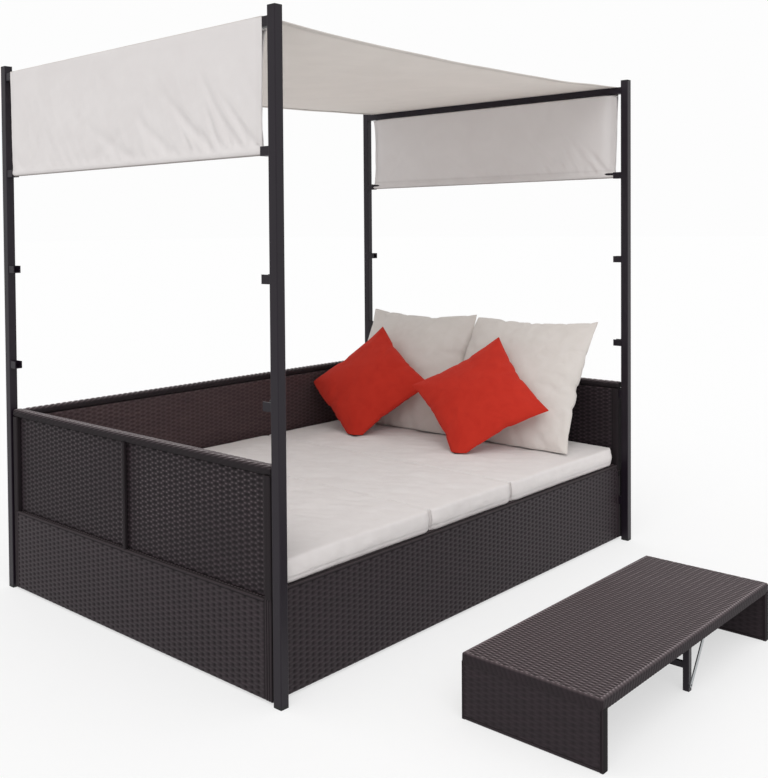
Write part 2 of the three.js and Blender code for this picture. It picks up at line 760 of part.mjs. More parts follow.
const inside = (stretch, inset) => [stretch[0] + inset, stretch[1] - inset];
const pivotY = about(tableMiddleY, tableDepth - 2 * tableRim + 2 * tableLegPivotReach);
const tableTop = cut(roundedSlab(tableX, tableY, [rimBottom, tableHeight], tableCorner), [
  box(inside(tableX, tableRim), inside(tableY, tableRim), [rimBottom - cutOverrun, plateBottom]),
  rodAlongY(
    tableLegPivotDiameter / 2 + hingeClearance,
    pivotX,
    inside(pivotY, -hingeClearance),
    tableLegPivotHeight,
    16,
  ),
]);
add("table_top", tableTop, wicker);

// End panels, each with two knuckles round its hinge rod
const rodZ = rimBottom - hingeRodDrop;
const panelTop = rimBottom - tableSlot;
const knuckleInset = tableDepth / 2 - hingeEndInset - 2 * hingeLugWidth - hingeKnuckleLength / 2;
for (const [place, side] of [["left", -1], ["right", 1]]) {
  const outerX = tableMiddleX + (side * tableLength) / 2;
  const rodX = outerX - side * endPanelThickness;
  const panelX = side < 0 ? [outerX, rodX] : [rodX, outerX];
  const panelPieces = [
    roundedSlab(panelX, tableY, [0, panelTop], tableCorner),
    box(panelX, inside(tableY, tableCorner), [0, panelTop - tableCorner]),
  ];
  const holes = [];
  const rodPieces = [];
  for (const end of [-1, 1]) {
    const knuckle = about(tableMiddleY + end * knuckleInset, hingeKnuckleLength);
    panelPieces.push(rodAlongY(hingeKnuckleDiameter / 2, rodX, knuckle, rodZ, 16));
    const neck = [rodX - side * weldDepth, rodX + side * (hingeKnuckleDiameter / 2)];
    neck.sort((a, b) => a - b);
    panelPieces.push(box(neck, knuckle, [panelTop - 2 * tableCorner, rodZ]));
    holes.push(
      rodAlongY(hingeRodDiameter / 2 + hingeClearance, rodX, inside(knuckle, -cutOverrun), rodZ, 16),
    );
    const lug = about(tableMiddleY + end * (tableDepth / 2 - hingeEndInset), hingeLugWidth);
    rodPieces.push(box(about(rodX, hingeKnuckleDiameter), lug, [rimBottom + fitGap, plateBottom - fitGap]));
  }
  add(`table_end_panel_${place}`, cut(join(panelPieces), holes), wicker);
  const rodY = about(tableMiddleY, tableDepth - 2 * hingeEndInset + hingeLugWidth);
  rodPieces.push(rodAlongY(hingeRodDiameter / 2, rodX, rodY, rodZ, 16));
  add(`table_hinge_${place}`, join(rodPieces), zincSteel);
}

// Middle leg: two uprights with round upper ends, a crossbar, a pivot rod held in the rim, and a pin
// for each stay
const legY = tableDepth / 2 - tableLegInset;
const stayMiddleY = legY + tableLegSide / 2 + fitGap + stayThickness / 2;
const legPieces = [
  rodAlongY(tableLegPivotDiameter / 2, pivotX, pivotY, tableLegPivotHeight, 16),
  box(about(pivotX, crossbarWidth), about(tableMiddleY, 2 * legY), about(crossbarHeight, tableLegSide)),
];
for (const end of [-1, 1]) {
  const uprightY = about(tableMiddleY + end * legY, tableLegSide);
  legPieces.push(box(about(pivotX, tableLegSide), uprightY, [0, tableLegPivotHeight]));
  legPieces.push(rodAlongY(tableLegSide / 2, pivotX, uprightY, tableLegPivotHeight, 16));
  const pin = onSide(end, legY, stayMiddleY + stayThickness / 2).map((y) => y + tableMiddleY);
  legPieces.push(rodAlongY(stayPinDiameter / 2, pivotX, pin, stayPinHeight, 12));
}
add("table_leg", join(legPieces), powderCoat);

// Stays: flat bars from a pin low on the leg up into the tray
for (const [place, end] of [["front", -1], ["back", 1]]) {
  const bar = new THREE.BoxGeometry(stayLength + stayWidth, stayThickness, stayWidth);
  bar.translate(stayLength / 2, 0, 0);
  const eye = rodAlongY(
    stayPinDiameter / 2 + hingeClearance,
    0,
    about(0, stayThickness + cutOverrun),
    0,
    12,
  );
  const stay = cut(bar, [eye])
    .rotateY(-stayAngle * degrees)
    .translate(pivotX, tableMiddleY + end * stayMiddleY, stayPinHeight);
  add(`table_stay_${place}`, stay, zincSteel);
}

export default daybed;
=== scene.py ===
import math

import bpy
import numpy as np
from mathutils import Matrix, Vector


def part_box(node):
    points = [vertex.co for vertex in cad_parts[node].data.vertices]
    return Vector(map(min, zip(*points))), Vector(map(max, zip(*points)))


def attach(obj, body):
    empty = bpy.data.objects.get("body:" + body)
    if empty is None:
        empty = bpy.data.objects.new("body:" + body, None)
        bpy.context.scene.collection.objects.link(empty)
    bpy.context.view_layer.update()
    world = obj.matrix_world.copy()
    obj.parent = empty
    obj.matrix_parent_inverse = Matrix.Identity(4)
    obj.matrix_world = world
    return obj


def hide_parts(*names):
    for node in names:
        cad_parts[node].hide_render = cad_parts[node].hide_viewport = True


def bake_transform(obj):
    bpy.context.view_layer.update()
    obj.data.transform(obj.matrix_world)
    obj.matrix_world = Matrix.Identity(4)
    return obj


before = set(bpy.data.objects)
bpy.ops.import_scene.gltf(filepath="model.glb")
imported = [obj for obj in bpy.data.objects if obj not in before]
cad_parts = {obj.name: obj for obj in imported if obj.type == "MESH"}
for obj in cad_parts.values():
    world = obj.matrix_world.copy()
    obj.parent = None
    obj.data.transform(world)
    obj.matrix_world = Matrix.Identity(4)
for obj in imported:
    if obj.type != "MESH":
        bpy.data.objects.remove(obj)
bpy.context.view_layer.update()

# Camera: stands off the bed's front left corner at a standing person's chest height. Its place, its
# turn and its lens were fitted to the straight edges of the photograph.
CAMERA_PLACE = (-2.7002, -2.4055, 1.1945)
CAMERA_YAW, CAMERA_PITCH, CAMERA_ROLL = math.radians(44.50), math.radians(-1.47), math.radians(-0.54)
PICTURE_WIDTH, PICTURE_HEIGHT = 768, 778
FOCAL_PIXELS = 1009.47
CENTRE_PIXEL = (287.23, 256.31)
FILM_WIDTH = 36


def placed(name, data):
    """A new object in the scene."""
    made = bpy.data.objects.new(name, data)
    bpy.context.collection.objects.link(made)
    return made


flat_ahead = [math.cos(CAMERA_YAW) * math.cos(CAMERA_PITCH), math.sin(CAMERA_YAW) * math.cos(CAMERA_PITCH)]
ahead = np.array([*flat_ahead, math.sin(CAMERA_PITCH)])
level = np.array([math.sin(CAMERA_YAW), -math.cos(CAMERA_YAW), 0.0])
upward = np.cross(level, ahead)
to_right = math.cos(CAMERA_ROLL) * level + math.sin(CAMERA_ROLL) * upward
to_top = math.cos(CAMERA_ROLL) * upward - math.sin(CAMERA_ROLL) * level

camera = placed("camera", bpy.data.cameras.new("camera"))
camera.data.sensor_width = FILM_WIDTH
camera.data.lens = FOCAL_PIXELS * FILM_WIDTH / PICTURE_HEIGHT
camera.data.shift_x = (PICTURE_WIDTH / 2 - CENTRE_PIXEL[0]) / PICTURE_HEIGHT
camera.data.shift_y = (CENTRE_PIXEL[1] - PICTURE_HEIGHT / 2) / PICTURE_HEIGHT
turn = Matrix((to_right, to_top, -ahead)).transposed().to_4x4()
camera.matrix_world = Matrix.Translation(CAMERA_PLACE) @ turn
bpy.context.scene.camera = camera
bpy.context.scene.view_settings.view_transform = "Standard"


# Studio: a pale floor that runs to the horizon under an even white sky, and one wide soft lamp from
# the upper left, which together light a level surface so that its colour shows as written.
SKY_LIGHT, LAMP_LIGHT = 0.74, 1.15
LAMP_FROM = (-0.62, -0.50, 0.95)
LAMP_WIDTH = math.radians(50)
FLOOR_COLOUR = "#FDFDFD"
FLOOR_REACH = 120.0
FLOOR_PALENESS = 0.6  # how far the floor the camera sees is white of itself; the rest keeps the shadow


def linear(colour):
    """Turns a written sRGB colour #RRGGBB into linear red, green, blue and full opacity."""
    parts = [int(colour[i : i + 2], 16) / 255 for i in (1, 3, 5)]
    return (*[c / 12.92 if c <= 0.04045 else ((c + 0.055) / 1.055) ** 2.4 for c in parts], 1)


def feed(tree, made, links):
    """Fills a node's inputs with values or with other nodes' outputs."""
    for place, value in links.items():
        if isinstance(value, bpy.types.NodeSocket):
            tree.links.new(value, made.inputs[place])
        else:
            made.inputs[place].default_value = value


def node(tree, kind, links, out=0, **settings):
    """Adds a node: settings name its fields and links fill its inputs. Gives the output that out names, or
    all of them where out is None."""
    made = tree.nodes.new(kind)
    for field, value in settings.items():
        setattr(made, field, value)
    feed(tree, made, links)
    return made.outputs if out is None else made.outputs[out]


def finish_material(name, **surface):
    """A new material whose Principled surface has the values given; returns it, its tree and its surface."""
    made = bpy.data.materials.new(name)
    made.use_nodes = True
    tree = made.node_tree
    shader = tree.nodes["Principled BSDF"]
    feed(tree, shader, {place.replace("_", " "): value for place, value in surface.items()})
    return made, tree, shader


def quads(grid):
    """The four corners of each quad between neighbours in a grid of point numbers or of any values; the
    quads face along row direction cross column direction."""
    corners = [grid[:-1, :-1], grid[1:, :-1], grid[1:, 1:], grid[:-1, 1:]]
    return np.stack(corners, -1).reshape(-1, 4)


def grid_faces(rows, columns, close_rows=0, close_columns=0):
    """Quads of a grid of points. Where its rows or columns close, the last one joins the first."""
    at = np.arange(rows * columns).reshape(rows, columns)
    return quads(np.pad(at, ((0, close_rows), (0, close_columns)), "wrap"))


def looked_at(tree):
    """1 where the camera, a reflection or a clear thing looks straight at a surface, and else 0."""
    ray = node(tree, "ShaderNodeLightPath", {}, None)
    direct = {0: ray["Is Camera Ray"], 1: ray["Is Glossy Ray"]}
    direct = node(tree, "ShaderNodeMath", direct, operation="MAXIMUM")
    return node(tree, "ShaderNodeMath", {0: direct, 1: ray["Is Transmission Ray"]}, operation="MAXIMUM")


sky = bpy.data.worlds.new("white_studio_sky")
sky.use_nodes = True
bpy.context.scene.world = sky
tree = sky.node_tree
tree.nodes.clear()
lighting = node(tree, "ShaderNodeBackground", {"Color": linear("#FFFFFF"), "Strength": SKY_LIGHT})
backdrop = node(tree, "ShaderNodeBackground", {"Color": linear(FLOOR_COLOUR), "Strength": 1.0})
shown = node(tree, "ShaderNodeMixShader", {0: looked_at(tree), 1: lighting, 2: backdrop})
node(tree, "ShaderNodeOutputWorld", {"Surface": shown}, None)

lamp = placed("soft_lamp", bpy.data.lights.new("soft_lamp", "SUN"))
lamp.data.energy = LAMP_LIGHT
lamp.data.angle = LAMP_WIDTH
lamp.rotation_mode = "QUATERNION"
lamp.rotation_quaternion = Vector(LAMP_FROM).to_track_quat("Z", "Y")

floor_mesh = bpy.data.meshes.new("floor")
floor_spans = np.linspace(-FLOOR_REACH, FLOOR_REACH, 3)
floor_points = np.stack(np.meshgrid(floor_spans, floor_spans, [0.0], indexing="ij"), -1).reshape(-1, 3)
floor_mesh.from_pydata(floor_points, [], grid_faces(3, 3))
floor = placed("floor", floor_mesh)
# Matt studio paint: white, with no shine at all
floor_paint, tree, shader = finish_material(
    "matt_studio_floor", Base_Color=linear(FLOOR_COLOUR), Roughness=0.95, Specular_IOR_Level=0.0
)
paleness = node(tree, "ShaderNodeMath", {0: looked_at(tree), 1: FLOOR_PALENESS}, operation="MULTIPLY")
pale = node(tree, "ShaderNodeEmission", {"Color": linear(FLOOR_COLOUR), "Strength": 1.0})
mixed = node(tree, "ShaderNodeMixShader", {0: paleness, 1: shader.outputs["BSDF"], 2: pale})
feed(tree, tree.nodes["Material Output"], {"Surface": mixed})
floor_mesh.materials.append(floor_paint)


# Posts, their hooks, the top bars and the shade bars: square and round aluminium tube, polyester
# powder coated in charcoal and baked, so it is even, half matt and faintly pebbled. The feet and caps
# are moulded black plastic, the bolts zinc-plated steel.
# The grain of all three is too fine to show at its real size, so it is drawn coarser here
COAT_COLOUR, COAT_PEBBLE, COAT_DEPTH = "#1A131C", 0.0024, 0.0003
PLASTIC_COLOUR, PLASTIC_GRAIN, PLASTIC_DEPTH = "#161617", 0.0012, 0.0002
ZINC_COLOUR, ZINC_GRAIN, ZINC_DEPTH = "#B9BCBE", 0.002, 0.0001
CLOUD_PEBBLES, CLOUD_TONE, CLOUD_GLOSS = 60, 0.2, 0.06  # slow drift: its length, and how far it shifts both


def pebbled(name, colour, pebble, depth, **surface):
    """Even coating or moulding: fine noise, one pebble long, bumps it, and noise that is many pebbles long
    shifts its colour and gloss a little."""
    made, tree, shader = finish_material(name, **surface)
    place = node(tree, "ShaderNodeTexCoord", {}, "Object")
    bumps = node(tree, "ShaderNodeTexNoise", {"Vector": place, "Scale": 1 / pebble, "Detail": 2.0})
    drift = {"Vector": place, "Scale": 1 / (CLOUD_PEBBLES * pebble), "Detail": 3.0}
    drift = node(tree, "ShaderNodeTexNoise", drift)
    tones = {"Value": drift, "To Min": 1 - CLOUD_TONE, "To Max": 1 + CLOUD_TONE}
    tones = node(tree, "ShaderNodeMapRange", tones)
    shade = node(tree, "ShaderNodeVectorMath", {0: linear(colour)[:3], "Scale": tones}, operation="SCALE")
    gloss = surface["Roughness"]
    rough = {"Value": drift, "To Min": gloss - CLOUD_GLOSS, "To Max": gloss + CLOUD_GLOSS}
    rough = node(tree, "ShaderNodeMapRange", rough)
    relief = node(tree, "ShaderNodeBump", {"Height": bumps, "Strength": 0.4, "Distance": depth})
    feed(tree, shader, {"Base Color": shade, "Roughness": rough, "Normal": relief})
    return made


def dress(material, *names):
    """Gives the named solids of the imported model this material."""
    for name in names:
        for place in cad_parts[name].material_slots:
            place.material = material


# Powder coat: a dark, even film with a soft broad shine along the edges of the tube
powder_coat = pebbled(
    "charcoal_powder_coat", COAT_COLOUR, COAT_PEBBLE, COAT_DEPTH, Roughness=0.36, Specular_IOR_Level=0.28
)
# Moulded polypropylene: near black, with the fine grain of its mould
moulded_plastic = pebbled(
    "black_moulded_plastic",
    PLASTIC_COLOUR,
    PLASTIC_GRAIN,
    PLASTIC_DEPTH,
    Roughness=0.5,
    Specular_IOR_Level=0.3,
)
# Zinc plate: a pale grey metal, a little cloudy
zinc_plate = pebbled("zinc_plated_steel", ZINC_COLOUR, ZINC_GRAIN, ZINC_DEPTH, Roughness=0.35, Metallic=1.0)

for corner in ("front_left", "front_right", "back_left", "back_right"):
    dress(powder_coat, f"post_{corner}")
    dress(moulded_plastic, f"post_foot_{corner}", f"post_cap_{corner}")
    dress(zinc_plate, f"post_bolt_{corner}")
dress(powder_coat, "top_bar_left", "top_bar_right", "shade_bar_left", "shade_bar_right")


# Base: two ledgers, a middle beam on one leg and five slats, welded and screwed from the same coated
# aluminium. It stands inside the skirts and shows only from below.
dress(powder_coat, "ledger_front", "ledger_back", "middle_beam", "middle_leg")
dress(powder_coat, *[f"slat_{number}" for number in range(1, 6)])
dress(moulded_plastic, "middle_foot")


# Skirts: four panels under the walls, woven by hand over an aluminium frame. Flat strands of brown
# black polyethylene run along the bed and pass over and under upright warps. The last strands at each
# end stand upright, and one plain strand binds the upper edge.
WEAVE = (0.0238, 0.00746)  # from warp to warp along a row, and from row to row
STRAND_RELIEF = 0.0021
END_STRIP, END_STRANDS, END_NUMBERS = 0.025, 3, (-40, -80)  # the numbers keep their tones apart
BINDING = 0.008
EDGE_ROUND = 0.0018
WARP_CELLS, ROW_CELLS, STRAND_CELLS, BAR_CELL, LONG_CELL = 5, 3, 4, 0.004, 0.03
BAR_ROUND = 0.004
# Strand colours: its own two tones, and the pale grey of the painted highlights on its crests
STRAND_COLOUR, STRAND_BROWN, STRAND_HIGHLIGHT = "#1A1116", "#2D1F26", "#9A8D90"
# Painted light: the paler colour of faces turned to the sky, and its greatest share
STRAND_SKYLIT, SKYLIT_SHARE = "#53474A", 0.75
# Size of the patches of painted highlight, and the places in Y between which they fade
HIGHLIGHT_PATCH, HIGHLIGHT_FADE = 0.45, (-0.15, 0.5)
# Depths between which the painted crest highlight rises, and its strength
CREST, CREST_SHINE = (0.80, 0.97), 0.85
GROOVES, GROOVE_DEPTH = 4, 0.0003
TINY = 1e-9
X, Y, Z = np.eye(3)


def rim(rows, columns):
    """Point numbers round a grid's border, clockwise seen from the side that its quads face."""
    at = np.arange(rows * columns).reshape(rows, columns)
    return np.concatenate([at[0, :-1], at[:-1, -1], at[-1, :0:-1], at[:0:-1, 0]])


def side_faces(rings):
    """Quads between closed rings of point numbers, each ring joined to the next."""
    return [np.stack([a, np.roll(a, -1), np.roll(b, -1), b], -1) for a, b in zip(rings[:-1], rings[1:])]


def slab(front, back, belts=()):
    """Joins two grids of like size round their border, through the belts of points between them, into one
    closed shell; gives its points and quads."""
    rows, columns = front.shape[:2]
    count = rows * columns
    faces = grid_faces(rows, columns)
    ring = rim(rows, columns)
    middle = [2 * count + len(ring) * step + np.arange(len(ring)) for step in range(len(belts))]
    points = np.concatenate([front.reshape(-1, 3), back.reshape(-1, 3), *belts])
    return points, np.concatenate([faces, faces[:, ::-1] + count, *side_faces([ring, *middle, ring + count])])


def make_piece(name, points, faces, uv, value, material, body, stands_for, caps=(), sharp=50):
    """A mesh piece from whole arrays, in place of one solid. uv has one pair per face corner and value one
    number per point, each under the name by which the material reads it."""
    mesh = bpy.data.meshes.new(name)
    mesh.from_pydata(points, [], faces.tolist() + [cap.tolist() for cap in caps])
    for layer, pairs in uv.items():
        corners = np.zeros((len(mesh.loops), 2), np.float32)
        corners[: faces.size] = pairs.reshape(-1, 2)
        mesh.uv_layers.new(name=layer).data.foreach_set("uv", corners.ravel())
    for layer, numbers in value.items():
        mesh.attributes.new(layer, "FLOAT", "POINT").data.foreach_set("value", numbers.astype(np.float32))
    mesh.shade_smooth()
    mesh.set_sharp_from_angle(angle=math.radians(sharp))
    mesh.materials.append(material)
    piece = placed(name, mesh)
    if body:
        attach(piece, body)
    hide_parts(stands_for)
    return piece


# Heights of a strand's hump from the warp that it passes over to the warp that it dips under
HUMP_PLACES = (0, 1 / 6, 1 / 3, 1 / 2, 2 / 3, 5 / 6, 1)
HUMP_HEIGHTS = (0.74, 0.79, 0.87, 0.77, 0.62, 0.34, 0.0)
WALL_HUMPS = (0.45, 0.82, 1.0, 0.70, 0.12, 0.0, 0.2)
PANEL_HUMPS = (0.62, 0.65, 0.70, 0.64, 0.56, 0.42, 0.30)
ROW_JOINT = 0.8  # where two rows meet, the height is this part of their mean
STRAND_ROUND = 2.5
PLAIN_DEPTH = 0.6  # strands that cross no others keep this share of their depth: fewer painted highlights, darker painted shade


def strand_top(across):
    """Height over a strand's width: flat in the middle and rounded down to nothing at both edges."""
    return 1 - np.abs(2 * (across - np.floor(across)) - 1) ** STRAND_ROUND


def plain_weave(along, rows, heights=HUMP_HEIGHTS):
    """Height of a plain weave: each row rises in a long hump over every other warp, a little hollow in its
    middle, and dips in a narrow notch under the next, and the rows take turns. Where two rows meet, the
    height is a part of their mean. along counts warps and rows counts strands."""
    off = np.abs((along + np.floor(rows) + 1) % 2 - 1)
    own, other = (np.interp(place, HUMP_PLACES, heights) for place in (off, 1 - off))
    edge = 1 - strand_top(rows)
    return own * (1 - edge) + ROW_JOINT * (own + other) / 2 * edge


def spans(start, end, cells):
    """Evenly spaced places from start up to, and without, end."""
    return start + (end - start) * np.arange(cells) / cells


def woven_panel(
    low,
    high,
    along,
    up,
    end_strip=END_STRIP,
    binding=BINDING,
    base_binding=0.0,
    weave=WEAVE,
    humps=HUMP_HEIGHTS,
):
    """A flat woven panel that fills the box from low to high and faces along cross up. Its height is the
    plain weave in the middle, upright strands over both end strips and one plain strand on each bound
    edge; the other face carries the weave's other side."""
    low, high, out = np.array(low), np.array(high), np.cross(along, up)
    size = high - low
    length, height, thick = (abs(size @ way) for way in (along, up, out))
    corner = (low + high) / 2 - along * length / 2 - up * height / 2 + out * thick / 2
    warps = round((length - 2 * end_strip) / weave[0])
    rows = round((height - binding - base_binding) / weave[1])
    strips = END_STRANDS * STRAND_CELLS if end_strip else 0
    inner = spans(end_strip, length - end_strip, warps * WARP_CELLS)
    last = spans(length - end_strip, length, strips)
    x = np.concatenate([spans(0, end_strip, strips), inner, last, [length]])
    foot = spans(0, base_binding, STRAND_CELLS if base_binding else 0)
    inner = spans(base_binding, height - binding, rows * ROW_CELLS)
    head = spans(height - binding, height, STRAND_CELLS if binding else 0)
    z = np.concatenate([foot, inner, head, [height]])
    x, z = np.meshgrid(x, z, indexing="ij")

    def strands(x, z, middle_x):
        """Strand coordinates: how far along the strand, which strand and where across it, and whether it
        stands upright."""
        warp = (x - end_strip) / (length - 2 * end_strip) * warps
        row = (z - base_binding) / (height - binding - base_binding) * rows
        row = np.where(z > height - binding, rows + (z - height + binding) / max(binding, TINY), row)
        row = np.where(z < base_binding, z / max(base_binding, TINY) - 1, row)
        pitch = max(end_strip, TINY) / END_STRANDS
        upright = np.minimum(middle_x, length - middle_x) < end_strip
        near_end = middle_x < length / 2
        strand = np.where(near_end, x / pitch + END_NUMBERS[0], (length - x) / pitch + END_NUMBERS[1])
        return np.where(upright, z / weave[0], warp), np.where(upright, strand, row), upright

    run, row, upright = strands(x, z, x)
    plain = upright | (z >= height - binding - TINY) | (z <= base_binding + TINY) & (base_binding > 0)
    edge = np.minimum(np.minimum(x, length - x), np.minimum(z, height - z))
    sink = EDGE_ROUND * np.exp(-edge / EDGE_ROUND)
    sides, depths = [], []
    for side in (0, 1):
        tall = np.where(plain, strand_top(row), plain_weave(run + side, row, humps))
        drop = STRAND_RELIEF * (1 - tall) + sink
        level = thick - drop if side else drop
        sides.append(corner + x[..., None] * along + z[..., None] * up - level[..., None] * out)
        depths.append((tall * np.where(plain, PLAIN_DEPTH, 1)).ravel())
    points, faces = slab(*sides)
    flat_x, flat_z = (np.tile(flat.ravel(), 2)[faces] for flat in (x, z))
    u, v, _ = strands(flat_x, flat_z, flat_x.mean(1, keepdims=True))
    return points, faces, np.stack([u, v], -1), np.concatenate(depths), []


def rounded_section(width, height, radius, cell, arc=3):
    """A rectangle with round corners, anticlockwise: its points, about one cell apart along the flats, its
    outward normals and the way round."""
    turns = np.concatenate([np.linspace(k, k + 1, arc + 1) for k in range(4)]) * math.pi / 2
    outward = np.stack([np.cos(turns), np.sin(turns)], -1)
    quarter = np.repeat(np.arange(4), arc + 1) * math.pi / 2 + math.pi / 4
    centre = np.sign(np.stack([np.cos(quarter), np.sin(quarter)], -1))
    corners = centre * (np.array([width, height]) / 2 - radius) + radius * outward
    way = np.append(0, np.cumsum(np.linalg.norm(np.diff(corners, axis=0, append=corners[:1]), axis=1)))
    parts = [np.linspace(a, b, math.ceil((b - a) / cell - 0.01) + 1)[:-1] for a, b in zip(way[:-1], way[1:])]
    steps = np.append(np.concatenate(parts), way[-1])
    ring, facing = (
        np.stack([np.interp(steps, way, np.append(some[:, k], some[0, k])) for k in (0, 1)], -1)
        for some in (corners, outward)
    )
    return ring, facing / np.linalg.norm(facing, axis=1, keepdims=True), steps


SIDE_RELIEF = 0.3  # share of its relief that a bar painted light only on top keeps on its sides
NARROW_CREST = 0.6  # how much of a strand's height the crest of a bar painted light only on top leaves out


def wound_bar(
    low,
    high,
    axis,
    pitch,
    slant=0,
    relief=STRAND_RELIEF,
    radius=BAR_ROUND,
    cell=BAR_CELL,
    side_depth=1.0,
    painted_light_share=1.0,
):
    """A bar of rounded box section that runs along axis, covered with flat strands: along the bar and
    round the section its height is a strand's, counted by length over pitch plus slant whole strands for
    each turn round. Where pitch is zero the strands lie along the bar. Where side_depth is under 1, only
    the bar's top keeps the crests that the material paints with highlights, and its sides keep that depth,
    which it paints darker. The last argument scales the depth, and so the painted highlight and shade."""
    low, high = np.array(low, float), np.array(high, float)
    run, across, upward = (np.eye(3)[(axis + step) % 3] for step in range(3))
    length = (high - low) @ run
    ring, facing, way = rounded_section((high - low) @ across, (high - low) @ upward, radius, cell)
    turns = max(round(length / pitch), 1) if pitch else 0
    cells = max(turns * STRAND_CELLS, math.ceil(length / (cell if slant and pitch else LONG_CELL)))
    travel = np.linspace(0, length, cells + 1)
    tall = strand_top(travel[None, :] / length * turns + slant * way[:, None] / way[-1])
    level, drop = tall, relief * (1 - tall)
    # Painted light on top: the top keeps its crests for painted highlights, the sides a flat depth painted
    # darker
    if side_depth < 1:
        on_top = np.clip(facing @ [across[2], upward[2]], 0, 1)[:, None]
        crest = np.clip((1 + NARROW_CREST) * tall - NARROW_CREST, 0, 1)
        level = side_depth + (crest - side_depth) * on_top
        drop = drop * (SIDE_RELIEF + (1 - SIDE_RELIEF) * on_top)
    if pitch:
        drop = drop + EDGE_ROUND * np.exp(-np.minimum(travel, travel[::-1]) / EDGE_ROUND)
    spot = ring[:, None, :] - drop[..., None] * facing[:, None, :]
    points = (low + high) / 2 + spot[..., :1] * across + spot[..., 1:] * upward
    points = (points + (travel - length / 2)[None, :, None] * run)[:-1]
    rows, columns = points.shape[:2]
    around, onward = (quads(grid) for grid in np.meshgrid(way, travel, indexing="ij"))
    u = (around if pitch else onward) / WEAVE[0]
    v = onward / length * turns + slant * around / way[-1]
    start = np.arange(rows) * columns
    faces, caps = grid_faces(rows, columns, 1), [start[::-1], start + columns - 1]
    return points.reshape(-1, 3), faces, np.stack([u, v], -1), painted_light_share * level[:-1].ravel(), caps


def woven_piece(name, shells, body, stands_for, material=None):
    """Makes one woven piece of several shells: points, quads, UVs, depths and caps laid end to end."""
    points, faces, uv, depth, caps = zip(*shells)
    starts = np.cumsum([0] + [len(some) for some in points[:-1]])
    faces = np.concatenate([some + start for some, start in zip(faces, starts)])
    caps = [cap + start for some, start in zip(caps, starts) for cap in some]
    points, uv, depth = (np.concatenate(parts) for parts in (points, uv, depth))
    material = material or woven_strand
    return make_piece(
        name, points, faces, {"strand": uv}, {"depth": depth}, material, body, stands_for, caps
    )


